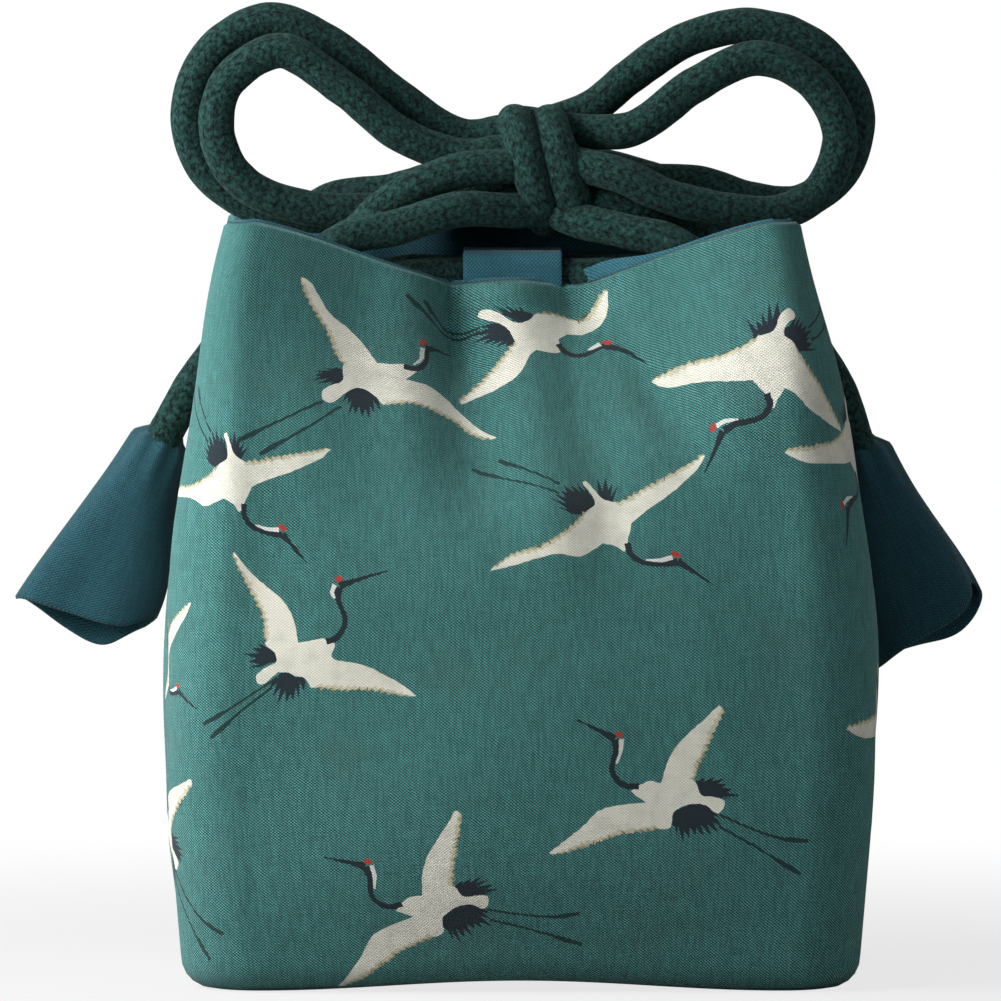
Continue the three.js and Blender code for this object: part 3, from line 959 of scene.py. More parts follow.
class Flight(Enum):
    """The ways that the printed cranes fly."""

    RISING = Crane(
        wings=(
            Wing(
                (
                    (-14.1, 24.9), (-12.4, 22.7), (-9.9, 19.8), (-6.4, 16.8), (-3.5, 14.4), (-1.5, 11.9),
                    (0.0, 8.4), (0.7, 4.2),
                ),
                (
                    (-14.5, 24.4), (-13.6, 21.8), (-11.6, 17.8), (-9.4, 13.9), (-7.7, 10.4), (-7.1, 7.4),
                    (-6.7, 4.2),
                ),
            ),
            Wing(
                ((27.2, -8.1), (24.3, -5.8), (20.8, -3.7), (16.8, -1.6), (12.9, -0.5), (8.9, 0.2)),
                (
                    (26.1, -8.4), (21.8, -7.8), (17.8, -7.0), (13.9, -6.7), (9.9, -6.7), (6.9, -6.3),
                    (3.7, -6.0),
                ),
            ),
        ),
        body=(
            (0.7, 4.2), (3.0, 4.6), (5.4, 5.0), (7.3, 5.0), (9.2, 3.6), (8.5, 2.0), (8.3, 1.0), (8.9, 0.2),
            (5.9, -4.5), (3.7, -6.0), (2.5, -3.9), (0.0, -3.1), (-2.1, -2.3), (-4.0, -2.5), (-6.9, -4.8),
            (-8.3, -4.8), (-8.8, -3.0), (-6.4, -1.1), (-4.2, 0.0), (-4.5, 2.0), (-6.7, 4.2), (-3.0, 6.4),
        ),
        plumes=(
            (
                (-4.2, 2.6), (-4.4, 0.4), (-6.9, -0.6), (-9.2, -1.3), (-10.4, 0.0), (-10.1, 1.9),
                (-9.4, 3.5), (-7.7, 4.4), (-5.7, 3.9),
            ),
            (
                (-3.4, -2.6), (-4.9, -4.3), (-6.3, -5.6), (-5.1, -6.7), (-3.0, -8.4), (-0.7, -8.4),
                (1.5, -6.7), (2.8, -5.0), (1.9, -3.9), (0.0, -3.7), (-1.7, -2.5),
            ),
        ),
        neck=((7.2, 4.3), (9.4, 5.1), (11.0, 7.2), (11.4, 9.4), (10.5, 11.9), (9.7, 13.9), (9.9, 16.5)),
        nape=((9.0, 14.0), (8.3, 15.3), (8.9, 17.1)),
        cap=((9.9, 18.4), (11.2, 18.7)),
        beak=((10.0, 16.8), (12.9, 17.8), (21.1, 20.2)),
        legs=(
            ((-4.0, -3.5), (-9.4, -6.9), (-15.3, -10.6), (-21.4, -13.9)),
            ((-5.2, -5.7), (-11.9, -10.5), (-16.8, -14.7), (-19.6, -16.9)),
        ),
    )
    LIFTING = Crane(
        wings=(
            Wing(
                (
                    (-12.2, 19.6), (-10.2, 18.8), (-8.0, 15.7), (-6.1, 12.8), (-1.9, 9.9), (1.3, 6.4),
                    (3.2, 2.9),
                ),
                ((-12.5, 18.9), (-11.8, 16.6), (-9.3, 11.8), (-7.0, 8.0), (-5.8, 3.5), (-4.2, 1.0)),
            ),
            Wing(
                ((27.6, -15.0), (24.6, -12.2), (21.1, -8.0), (17.6, -4.5), (13.8, -2.2), (8.6, -1.1)),
                (
                    (26.9, -15.4), (25.0, -14.7), (22.1, -13.1), (18.9, -10.4), (14.4, -9.0), (9.3, -7.5),
                    (3.5, -8.0),
                ),
            ),
        ),
        body=(
            (3.2, 2.9), (6.1, 2.8), (8.6, 3.0), (11.5, 1.7), (10.2, 0.3), (8.6, -1.1), (5.4, -4.8),
            (3.5, -8.0), (1.9, -5.8), (-1.0, -4.0), (-3.5, -4.8), (-6.1, -7.0), (-8.0, -8.3), (-9.7, -7.7),
            (-9.9, -6.2), (-8.0, -4.4), (-4.9, -2.8), (-4.2, 1.0), (-1.0, 3.5),
        ),
        plumes=(
            (
                (-3.8, 0.2), (-7.0, 0.2), (-9.9, -1.1), (-11.5, -2.9), (-9.7, -3.4), (-8.0, -4.7),
                (-6.0, -3.8), (-3.8, -2.9),
            ),
            (
                (-2.2, -3.8), (-3.9, -4.8), (-5.1, -6.6), (-4.4, -9.0), (-4.2, -10.6), (-2.2, -10.6),
                (-0.4, -10.7), (1.3, -9.4), (2.9, -7.9), (3.1, -6.1), (1.0, -4.5),
            ),
        ),
        neck=((8.6, 2.4), (11.5, 2.1), (13.4, 3.8), (14.2, 6.2), (14.0, 8.0)),
        nape=((10.7, 3.1), (12.5, 4.8), (13.3, 8.0)),
        cap=((13.6, 9.4), (15.0, 9.2)),
        beak=((14.1, 7.9), (16.3, 8.3), (21.1, 9.0)),
        legs=(
            ((-9.9, -8.1), (-19.5, -12.5), (-29.8, -16.6)),
            ((-6.0, -9.0), (-14.4, -14.4), (-25.0, -19.6)),
        ),
    )
    GLIDING = Crane(
        wings=(
            Wing(
                ((21.9, 16.0), (20.5, 13.3), (17.0, 9.6), (13.4, 6.4), (9.0, 3.2), (5.8, 0.3)),
                ((21.2, 16.3), (18.6, 14.7), (14.7, 12.5), (9.6, 9.6), (5.1, 7.0), (2.2, 5.8)),
            ),
            Wing(
                (
                    (-25.1, -12.3), (-19.8, -10.7), (-14.1, -8.8), (-10.2, -7.9), (-5.4, -8.1),
                    (-2.6, -6.4), (-0.3, -4.5),
                ),
                ((-24.7, -11.5), (-20.5, -8.0), (-14.1, -5.8), (-10.2, -3.2), (-7.0, -0.3), (-4.5, 3.2)),
            ),
        ),
        body=(
            (2.2, 5.8), (4.5, 3.2), (5.8, 0.3), (5.2, -3.5), (4.6, -6.5), (2.6, -5.1), (-0.3, -4.5),
            (-3.8, -3.2), (-4.5, 2.6), (-2.4, 5.0), (-3.3, 8.0), (-5.2, 10.4), (-4.6, 11.1), (-3.1, 9.6),
            (-0.6, 6.7),
        ),
        plumes=(
            (
                (-3.8, 2.2), (-6.9, 2.0), (-9.7, 2.7), (-10.5, 5.4), (-10.0, 8.2), (-7.7, 9.6),
                (-5.2, 9.7), (-3.5, 8.2), (-2.3, 5.8), (-2.2, 3.5),
            ),
            ((-1.3, 6.4), (-2.6, 9.0), (-1.5, 10.8), (0.6, 10.4), (2.0, 8.4), (2.7, 6.0), (0.6, 5.2)),
        ),
        neck=((5.1, -4.2), (6.0, -7.0), (8.3, -8.7), (12.2, -9.2), (16.3, -8.6)),
        nape=((9.3, -8.3), (12.5, -8.3), (15.2, -7.6)),
        cap=((15.9, -6.9), (17.4, -7.4)),
        beak=((16.3, -8.4), (24.4, -13.4)),
        legs=(
            ((-10.2, 9.3), (-17.3, 12.8), (-24.0, 16.4)),
            ((-10.2, 6.7), (-19.8, 10.2), (-29.8, 14.1)),
        ),
    )
    DIVING = Crane(
        wings=(
            Wing(
                (
                    (-25.7, -1.4), (-23.2, -3.0), (-20.0, -4.1), (-15.7, -4.5), (-11.3, -4.8),
                    (-7.0, -5.2), (-3.2, -5.1),
                ),
                (
                    (-25.5, -0.5), (-20.5, -0.1), (-15.1, 0.4), (-10.8, 0.7), (-7.6, 1.6), (-4.9, 2.7),
                    (-2.7, 3.8),
                ),
            ),
            Wing(
                (
                    (20.1, -12.9), (16.2, -12.2), (12.4, -11.1), (9.2, -10.0), (7.0, -8.5), (4.9, -7.1),
                    (3.2, -6.5),
                ),
                (
                    (20.4, -12.0), (17.8, -9.4), (14.6, -6.5), (11.9, -4.0), (9.2, -1.6), (7.0, 0.3),
                    (4.9, 2.2),
                ),
            ),
        ),
        body=(
            (-2.7, 3.8), (-1.1, 4.3), (0.0, 4.6), (0.8, 5.9), (1.5, 8.4), (3.0, 9.6), (4.9, 8.9),
            (5.1, 7.8), (3.3, 6.9), (2.4, 5.5), (2.5, 4.0), (4.9, 2.2), (4.3, -2.7), (3.2, -6.5),
            (2.3, -8.1), (1.1, -10.9), (0.5, -9.2), (-0.8, -7.6), (-2.1, -6.3), (-3.2, -5.1), (-3.8, -0.5),
        ),
        plumes=(
            (
                (-3.0, 3.0), (-4.3, 4.4), (-3.6, 6.5), (-1.6, 8.4), (0.5, 9.5), (2.5, 9.7), (1.8, 8.4),
                (1.2, 6.4), (0.3, 4.3), (-1.4, 3.8),
            ),
            (
                (2.2, 3.8), (2.3, 5.6), (4.3, 7.0), (7.0, 7.6), (9.8, 6.8), (10.8, 5.7), (9.8, 4.0),
                (10.9, 2.2), (8.4, 1.6), (6.5, 1.1), (4.6, 1.9), (3.2, 3.0),
            ),
        ),
        neck=((-0.2, -7.8), (0.5, -10.2), (-0.8, -12.4), (-3.2, -13.4), (-5.9, -14.0), (-8.5, -15.4)),
        nape=((-5.7, -13.1), (-8.4, -13.4), (-10.2, -14.3)),
        cap=((-10.9, -14.6), (-10.7, -13.3)),
        beak=((-8.7, -15.4), (-11.8, -24.5)),
        legs=(
            ((9.8, 6.5), (13.0, 8.1), (21.6, 12.4)),
            ((10.4, 4.2), (13.0, 5.1), (23.2, 9.4)),
        ),
    )
    BANKING = Crane(
        wings=(
            Wing(
                (
                    (8.5, 19.3), (5.9, 16.8), (2.6, 13.8), (-0.7, 10.5), (-2.6, 7.2), (-3.6, 3.9),
                    (-4.1, 2.0),
                ),
                ((9.8, 18.5), (8.8, 15.7), (7.2, 12.4), (5.9, 9.2), (4.7, 6.6), (4.1, 4.6), (3.3, 2.6)),
            ),
            Wing(
                (
                    (-29.1, -13.0), (-25.5, -10.2), (-21.6, -7.2), (-18.3, -3.9), (-15.7, -2.9),
                    (-11.8, -2.3), (-7.5, -2.0),
                ),
                (
                    (-28.3, -13.6), (-24.2, -12.9), (-20.3, -11.6), (-16.4, -10.3), (-12.4, -9.0),
                    (-8.5, -8.5), (-4.6, -8.0), (-2.0, -7.6),
                ),
            ),
        ),
        body=(
            (-10.8, 0.6), (-8.8, 2.0), (-6.6, 2.8), (-4.1, 2.4), (0.0, 3.3), (3.3, 2.6), (4.9, -0.5),
            (7.5, -0.9), (10.0, -1.7), (9.8, -3.6), (8.5, -4.6), (6.0, -2.8), (3.3, -2.4), (0.7, -3.0),
            (-1.3, -4.3), (-2.0, -7.6), (-4.6, -7.7), (-6.6, -4.6), (-7.5, -2.0), (-9.5, -0.5),
        ),
        plumes=(
            (
                (3.1, 2.5), (5.9, 3.5), (9.2, 2.8), (11.3, 1.0), (12.1, -0.8), (10.2, -1.4), (7.2, -1.0),
                (4.9, -0.7),
            ),
            (
                (-1.7, -4.2), (0.7, -3.5), (4.3, -2.0), (6.6, -2.9), (9.0, -4.9), (9.0, -7.9), (7.2, -8.9),
                (4.6, -9.2), (1.6, -9.7), (-0.7, -8.6), (-1.7, -6.9),
            ),
        ),
        neck=(
            (-9.0, 1.7), (-11.8, 1.8), (-13.8, 3.1), (-15.0, 5.2), (-14.8, 7.5), (-14.1, 9.8),
            (-14.4, 12.1),
        ),
        nape=((-14.0, 6.8), (-13.1, 9.5), (-13.0, 12.2)),
        cap=((-13.5, 13.2), (-12.3, 12.7)),
        beak=((-14.4, 12.4), (-22.7, 16.6)),
        legs=(
            ((9.0, -4.9), (16.4, -8.2), (23.6, -10.6), (29.2, -11.1)),
            ((9.0, -7.5), (17.7, -12.4), (23.6, -16.0), (27.9, -18.6)),
        ),
    )
    SOARING = Crane(
        wings=(
            Wing(
                ((15.0, 9.3), (13.9, 5.5), (11.4, 2.0), (9.0, 0.6), (6.5, 0.5), (4.3, -1.2)),
                ((14.5, 10.1), (12.2, 9.1), (10.2, 6.7), (8.2, 4.7), (5.7, 5.3), (2.4, 5.7), (-0.8, 4.5)),
            ),
            Wing(
                (
                    (-17.6, -17.4), (-14.7, -15.6), (-9.8, -14.3), (-5.7, -12.3), (-3.7, -9.9),
                    (-2.4, -6.7), (-0.8, -5.1),
                ),
                ((-18.3, -16.7), (-15.9, -13.4), (-12.2, -10.0), (-9.0, -6.8), (-6.9, -4.1), (-5.3, -2.6)),
            ),
        ),
        body=(
            (-0.8, 4.5), (-1.8, 3.1), (-3.7, 2.0), (-5.7, 2.1), (-8.6, 4.5), (-12.2, 6.3), (-13.8, 5.5),
            (-13.4, 4.6), (-9.4, 2.4), (-6.8, 0.2), (-5.7, -2.4), (-4.7, -4.1), (-0.8, -5.1), (3.9, -5.1),
            (5.0, -3.9), (4.3, -1.2), (6.5, 0.7), (4.1, 4.5),
        ),
        plumes=(
            (
                (-13.0, 2.6), (-11.7, 3.3), (-9.0, 1.8), (-6.7, 0.2), (-5.2, -2.4), (-4.6, -3.9),
                (-7.5, -4.2), (-9.8, -3.4), (-12.4, -1.6), (-13.6, 0.7),
            ),
            (
                (-8.2, 4.6), (-9.0, 5.5), (-6.9, 6.2), (-4.1, 5.5), (-1.5, 4.6), (-2.0, 2.8), (-4.1, 2.0),
                (-6.4, 2.8),
            ),
        ),
        neck=((4.1, -2.6), (5.5, -4.4), (8.2, -5.3), (10.6, -4.6), (12.6, -2.3)),
        nape=((10.4, -3.7), (11.4, -2.9), (12.4, -2.0)),
        cap=((13.7, -1.8), (15.0, -2.1)),
        beak=((12.6, -2.3), (17.1, -4.6), (22.2, -9.1)),
        legs=(
            ((-13.2, 1.6), (-18.7, 1.0), (-23.2, 2.0), (-26.9, 4.5), (-30.6, 7.3)),
            ((-13.2, 2.4), (-20.4, 2.6), (-24.0, 4.5), (-26.6, 7.0)),
        ),
    )


@dataclass(frozen=True)
class PrintedShape:
    """One closed shape of the print on the flat cloth, in metres, and its ink."""

    outline: np.ndarray
    ink: Ink


class CranePrint:
    """Draws the scattered cranes of the print on the flat cloth, in millimetres.

    PLACES gives each crane's flight, its place across and up the cloth, its turn in degrees and its size.
    Widths run from the start of a stroke to its end.
    """

    LEG_WIDTHS = (0.6, 0.5, 0.5, 0.5, 0.6, 1.15, 0.8)
    NECK_WIDTHS = (1.4, 1.3, 1.15, 1.15, 1.7)
    NAPE_WIDTHS = (0.4, 0.9, 1.1)
    BEAK_WIDTHS = (1.8, 1.0, 0.6, 0.25)
    FLECK_WIDTHS = (0.34, 0.24, 0.12)
    WING_INSETS = ((Ink.WING_EDGE, 0.0), (Ink.WING_SHADE, 0.32), (Ink.FEATHER, 1.1))
    SPACING = 0.8
    MARGIN = 0.4
    PLUME_SIZE = 0.92
    CAP_LENGTH = 0.72
    CAP_HALF_WIDTH = 0.66
    FLECK_COUNT = 7
    FLECK_SPAN = (0.3, 0.95)
    FLECK_LENGTH = (0.5, 1.2)
    PLUME_TIP = (0.6, 2.9)
    PLUME_NOTCH = (-1.7, -0.5)
    PLUME_HELD = (-0.2, 0.1)
    PLUME_FREE = -0.15
    PLUME_SPLAY = 0.40
    PLUME_SWEEP = 0.90
    LEAD_SPACING = 0.9
    TRAIL_SPACING = 0.75
    TOOTH_DEPTH = (0.05, 0.55)
    TOOTH_REST = 0.15
    MOST_INSET = 0.35
    SEED = 11
    PLACES: tuple[tuple[Flight, float, float, float, float], ...] = (
        (Flight.LIFTING, -34.4, 145.7, 5.8, 1.03),
        (Flight.SOARING, 6.0, 160.8, 0.4, 1.03),
        (Flight.DIVING, 57.9, 144.6, -7.4, 1.1),
        (Flight.GLIDING, 19.1, 109.0, -2.7, 1.01),
        (Flight.GLIDING, -65.3, 117.0, -17.0, 0.9),
        (Flight.RISING, -49.9, 77.4, 1.3, 0.98),
        (Flight.GLIDING, -92.0, 76.6, 2.0, 0.8),
        (Flight.BANKING, -89.8, 37.4, -23.8, 0.95),
        (Flight.BANKING, -17.9, 23.7, 14.8, 1.01),
        (Flight.BANKING, 35.3, 48.4, 0.6, 1.0),
        (Flight.DIVING, 84.0, 125.9, 3.6, 0.94),
        (Flight.DIVING, 98.2, 65.4, 4.0, 1.0),
        (Flight.BANKING, 122.0, 22.0, 10.0, 0.95),
        (Flight.GLIDING, 130.0, 146.0, 0.0, 0.95),
        (Flight.RISING, 140.0, 98.0, 10.0, 0.95),
        (Flight.GLIDING, 170.0, 44.0, -8.0, 0.95),
        (Flight.BANKING, 184.0, 138.0, 0.0, 0.95),
        (Flight.DIVING, 194.0, 88.0, 10.0, 0.95),
        (Flight.RISING, 222.0, 42.0, 0.0, 0.95),
        (Flight.GLIDING, 236.0, 128.0, 8.0, 0.95),
        (Flight.BANKING, -116.0, 142.0, 8.0, 0.95),
        (Flight.RISING, -146.0, 84.0, 0.0, 0.95),
        (Flight.DIVING, -138.0, 34.0, 12.0, 0.92),
        (Flight.GLIDING, -158.0, 128.0, 0.0, 0.95),
        (Flight.BANKING, -186.0, 30.0, 0.0, 0.95),
        (Flight.RISING, -213.0, 146.0, 6.0, 0.92),
        (Flight.GLIDING, -202.0, 86.0, -6.0, 0.95),
        (Flight.BANKING, -238.0, 76.0, 14.0, 0.92),
    )

    def __init__(self) -> None:
        """Starts with a fixed seed, so that the ragged edges are the same each time."""
        self.random = np.random.default_rng(self.SEED)

    def shapes(self) -> list[PrintedShape]:
        """Draws every crane.

        Returns:
            The shapes of the whole print.
        """
        top = FORM.rim_up / MM - self.MARGIN
        shapes: list[PrintedShape] = []
        for flight, across, up, turn, size in self.PLACES:
            angle = math.radians(turn)
            spin = np.array([[math.cos(angle), math.sin(angle)], [-math.sin(angle), math.cos(angle)]])
            for outline, ink in self._crane(flight.value):
                placed = (outline * size) @ spin + np.array([across, up])
                placed[:, 1] = np.clip(placed[:, 1], self.MARGIN, top)
                shapes.extend(PrintedShape(piece * MM, ink) for piece in self._laid(placed))
        return shapes

    def _laid(self, outline: np.ndarray) -> list[np.ndarray]:
        """An outline as it lies on the cloth, carried on past the seam at the middle of the back.

        Args:
            outline: The outline in millimetres.

        Returns:
            The pieces of it that lie on the cloth.
        """
        seam = FORM.girth / MM / 2
        pieces = []
        for turn in (-1, 0, 1):
            moved = outline + np.array([2 * seam * turn, 0.0])
            if moved[:, 0].max() > -seam and moved[:, 0].min() < seam:
                moved[:, 0] = np.clip(moved[:, 0], -seam, seam)
                pieces.append(moved)
        return pieces

    def _crane(self, crane: Crane) -> list[tuple[np.ndarray, Ink]]:
        """The shapes of one crane.

        Args:
            crane: The crane.

        Returns:
            Each outline, in millimetres, with its ink.
        """
        parts = [(self._stroke(leg, self.LEG_WIDTHS), Ink.LEG) for leg in crane.legs]
        parts.extend((self._plume(plume), Ink.PLUME) for plume in crane.plumes)
        for wing in crane.wings:
            parts.extend((self._wing(wing, inset), ink) for ink, inset in self.WING_INSETS)
            parts.extend((fleck, Ink.FLECK) for fleck in self._flecks(wing))
        parts.append((self._jitter(self._ring(crane.body)), Ink.FEATHER))
        parts.append((self._stroke(crane.neck, self.NECK_WIDTHS), Ink.NECK))
        parts.append((self._stroke(crane.nape, self.NAPE_WIDTHS), Ink.CHEEK))
        parts.append((self._stroke(crane.beak, self.BEAK_WIDTHS, 0.06), Ink.NECK))
        middle, end = (np.array(place) for place in crane.cap)
        parts.append((self._oval(middle, (end - middle) * self.CAP_LENGTH, self.CAP_HALF_WIDTH), Ink.CAP))
        return parts

    def _jitter(self, outline: np.ndarray, rough: float = 0.05) -> np.ndarray:
        """Roughens an outline a little, as ink on coarse threads is."""
        return outline + self.random.normal(0.0, rough, outline.shape)

    def _stroke(self, points: Sequence[Point], widths: Sequence[float], rough: float = 0.05) -> np.ndarray:
        """A brush stroke of changing width along points.

        Args:
            points: The points to pass.
            widths: Widths, spread evenly along the stroke.
            rough: How rough its edge is, in millimetres.

        Returns:
            The outline.
        """
        line = smooth_route(np.array([tuple(p) for p in points], dtype=float), self.SPACING)
        step = unit(np.gradient(line, axis=0))
        across = np.stack([-step[:, 1], step[:, 0]], axis=1)
        share = np.linspace(0.0, 1.0, len(line))
        half = np.interp(share, np.linspace(0.0, 1.0, len(widths)), widths)[:, None] / 2
        return self._jitter(np.vstack([line + across * half, (line - across * half)[::-1]]), rough)

    def _oval(self, middle: np.ndarray, axis: np.ndarray, half_width: float) -> np.ndarray:
        """An oval with a long axis and a half width.

        Args:
            middle: The middle of the oval.
            axis: The way from the middle to one end.
            half_width: Half the width across the axis.

        Returns:
            The outline.
        """
        angle = np.linspace(0.0, 2 * math.pi, 22, endpoint=False)
        cross = unit(np.array([-axis[1], axis[0]])) * half_width
        return self._jitter(middle + np.outer(np.cos(angle), axis) + np.outer(np.sin(angle), cross))

    def _ring(self, points: Sequence[Point]) -> np.ndarray:
        """A smooth closed outline through points."""
        return smooth_route(np.array([*points, points[0]], dtype=float), self.SPACING)[:-1]

    def _plume(self, points: Sequence[Point]) -> np.ndarray:
        """A lobe of dark feathers, with their tips swept back on the side away from the body.

        Args:
            points: The points of the lobe.

        Returns:
            The outline.
        """
        ring = self._ring(points) * self.PLUME_SIZE
        middle = ring.mean(axis=0)
        outward = unit(ring - middle)
        away = unit(middle)
        free = outward @ away > self.PLUME_FREE
        tip = np.arange(len(ring)) % 2 == 0
        long_tip = self.random.uniform(*self.PLUME_TIP, len(ring))
        notch = self.random.uniform(*self.PLUME_NOTCH, len(ring))
        held = self.random.uniform(*self.PLUME_HELD, len(ring))
        reach = np.where(free, np.where(tip, long_tip, notch), held)
        swept = unit(outward * self.PLUME_SPLAY + away * self.PLUME_SWEEP)
        return ring + np.where(free[:, None], swept, outward) * reach[:, None]

    def _flecks(self, wing: Wing) -> list[np.ndarray]:
        """Short dark strokes between the feathers behind a wing.

        Args:
            wing: The wing.

        Returns:
            Their outlines.
        """
        trail = smooth_route(np.array(wing.trailing), 0.5)
        middle = np.array(wing.leading)[len(wing.leading) // 2]
        flecks = []
        for share in self.random.uniform(*self.FLECK_SPAN, self.FLECK_COUNT):
            start = trail[int(share * (len(trail) - 1))]
            end = start + unit(middle - start) * self.random.uniform(*self.FLECK_LENGTH)
            flecks.append(self._stroke((start, end), self.FLECK_WIDTHS, 0.02))
        return flecks

    def _wing(self, wing: Wing, inset: float) -> np.ndarray:
        """A wing with a smooth leading edge and ragged feathers behind.

        Args:
            wing: The wing's edges.
            inset: How far the feathers are drawn in, in millimetres.

        Returns:
            The outline.
        """
        lead = smooth_route(np.array(wing.leading), self.LEAD_SPACING)
        trail = smooth_route(np.array(wing.trailing), self.TRAIL_SPACING)
        share = np.linspace(0.0, 1.0, len(trail))
        lead_share = np.linspace(0.0, 1.0, len(lead))
        facing = np.stack([np.interp(share, lead_share, lead[:, k]) for k in range(2)], axis=1)
        room = np.linalg.norm(facing - trail, axis=1, keepdims=True)
        inward = (facing - trail) / np.maximum(room, 1e-6)
        deep = self.random.uniform(*self.TOOTH_DEPTH, len(trail))
        tooth = np.where(np.arange(len(trail)) % 2 == 0, deep, self.TOOTH_REST - deep)[:, None]
        trail = trail + inward * (np.minimum(inset, self.MOST_INSET * room) + tooth)
        return self._jitter(np.vstack([lead, [[0.0, 0.0]], trail[::-1]]), 0.07)


@dataclass
class OuterBag:
    """The printed outer bag: one sheet of cloth, turned in over the rim, with a flat base. Sizes in metres.

    Flat points nearer than merge, in millimetres, become one.
    """

    column: float = 0.0024
    row: float = 0.0021
    wall: float = 0.0016
    hem: float = 0.010
    base_rings: int = 14
    merge: float = 1e-4

    def build(self, finishes: Finishes) -> Piece:
        """Cuts the cloth round the print, raises it into the bag and dresses it.

        Args:
            finishes: The materials.

        Returns:
            The bag.
        """
        girth = FORM.girth
        top = FORM.rim_up + self.hem
        columns = np.linspace(-girth / 2, girth / 2, int(round(girth / self.column)) + 1)
        rows = np.linspace(0.0, top, int(round(top / self.row)) + 1)
        grid = np.stack(np.meshgrid(columns, rows), axis=-1).reshape(-1, 2)
        shapes = CranePrint().shapes()
        edges = []
        start = len(grid)
        for shape in shapes:
            ids = start + np.arange(len(shape.outline))
            edges.append(np.stack([ids, np.roll(ids, -1)], axis=1))
            start += len(shape.outline)
        spots = np.vstack([grid] + [shape.outline for shape in shapes]) / MM
        corners = [Vector(spot) for spot in spots.tolist()]
        cut = delaunay_2d_cdt(corners, np.vstack(edges).tolist(), [], 0, self.merge)
        places = np.array([tuple(p) for p in cut[0]]) * MM
        faces = np.array(cut[2], dtype=int)
        bag = self._raise(places, faces, self._inks(places[faces].mean(axis=1), shapes))
        bag.data.materials.append(finishes.printed_cloth)
        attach(bag, ROOT)
        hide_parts("outer_bag")
        return bag

    def _inks(self, middles: np.ndarray, shapes: list[PrintedShape]) -> np.ndarray:
        """The ink and its cover on each face of the flat cloth, by the shapes round the face's middle.

        Args:
            middles: The middles of the faces.
            shapes: The shapes of the print.

        Returns:
            A colour and a cover for each face.
        """
        inks = np.zeros((len(middles), 4))
        for shape in sorted(shapes, key=lambda one: one.ink.layer):
            outline = shape.outline
            low, high = outline.min(axis=0), outline.max(axis=0)
            near = np.where(np.all((middles >= low) & (middles <= high), axis=1))[0]
            x, y = middles[near, 0][:, None], middles[near, 1][:, None]
            x0, y0 = outline[:, 0], outline[:, 1]
            x1, y1 = np.roll(x0, -1), np.roll(y0, -1)
            left = (x1 - x0) * (y - y0) - (x - x0) * (y1 - y0)
            rising = (y0 <= y) & (y1 > y) & (left > 0)
            falling = (y0 > y) & (y1 <= y) & (left < 0)
            inside = near[(rising.sum(axis=1) - falling.sum(axis=1)) != 0]
            inks[inside] = (*shape.ink.colour, 1.0)
        return inks

    def _raise(self, flat: np.ndarray, faces: np.ndarray, inks: np.ndarray) -> Piece:
        """Lifts the flat, cut cloth into the bag's shape and closes its base.

        Args:
            flat: The points of the flat cloth, in metres.
            faces: The triangles between them.
            inks: A colour and a cover for each triangle.

        Returns:
            The bag.
        """
        across, up = flat[:, 0], flat[:, 1]
        around = FORM.around_of(across)
        over = np.clip(up - FORM.rim_up, 0.0, None)
        roll = np.minimum(over / (self.wall * QUARTER_TURN), 1.0) * math.pi
        down = np.maximum(over - self.wall * QUARTER_TURN, 0.0)
        rise = FORM.rise_of(np.minimum(up, FORM.rim_up)) - down / FORM.height
        rise = rise + self.wall / 2 * np.sin(roll) / FORM.height
        places = FORM.point(around, rise, self.wall / 2 * (1 - np.cos(roll)))
        upward = np.array([0.0, 0.0, 1.0])
        normals = np.cos(roll)[:, None] * FORM.normal(around, rise) + np.sin(roll)[:, None] * upward
        lower_edge = np.where(up < 1e-7)[0]
        lower_edge = lower_edge[np.argsort(across[lower_edge])][:-1]
        base, base_faces = self._base(places, lower_edge)
        every_place = np.vstack([places, base])
        corners = np.vstack([flat[faces.ravel()], every_place[base_faces.ravel()][:, :2]])
        bag = new_object("outer_bag_cloth", every_place, np.vstack([faces, base_faces]), corners)
        ink = bag.data.color_attributes.new("ink", "FLOAT_COLOR", "CORNER")
        colours = np.vstack([np.repeat(inks, 3, axis=0), np.zeros((len(base_faces) * 3, 4))])
        ink.data.foreach_set("color", colours.astype(np.float32).ravel())
        below = np.tile(-upward, (len(base), 1))
        bag.data.normals_split_custom_set_from_vertices(np.vstack([normals, below]).tolist())
        return bag

    def _base(self, places: np.ndarray, lower_edge: np.ndarray) -> tuple[np.ndarray, np.ndarray]:
        """Rings of cloth from the base edge to the middle of the base.

        Args:
            places: The points of the wall.
            lower_edge: The numbers of those on the base edge, in order.

        Returns:
            The new points, and the faces that join them.
        """
        edge = places[lower_edge]
        first = len(places)
        rings = [edge * np.array([1 - i / self.base_rings] * 2 + [1.0]) for i in range(1, self.base_rings)]
        middle = np.array([[0.0, 0.0, edge[:, 2].mean()]])
        count = len(lower_edge)
        ids = [lower_edge] + [first + i * count + np.arange(count) for i in range(self.base_rings - 1)]
        after = np.roll(np.arange(count), -1)
        faces = []
        for outer, inner in zip(ids[:-1], ids[1:]):
            faces.append(np.stack([outer, inner, inner[after]], axis=1))
            faces.append(np.stack([outer, inner[after], outer[after]], axis=1))
        hub = first + (self.base_rings - 1) * count
        faces.append(np.stack([ids[-1], np.full(count, hub), ids[-1][after]], axis=1))
        return np.vstack(rings + [middle]), np.vstack(faces)


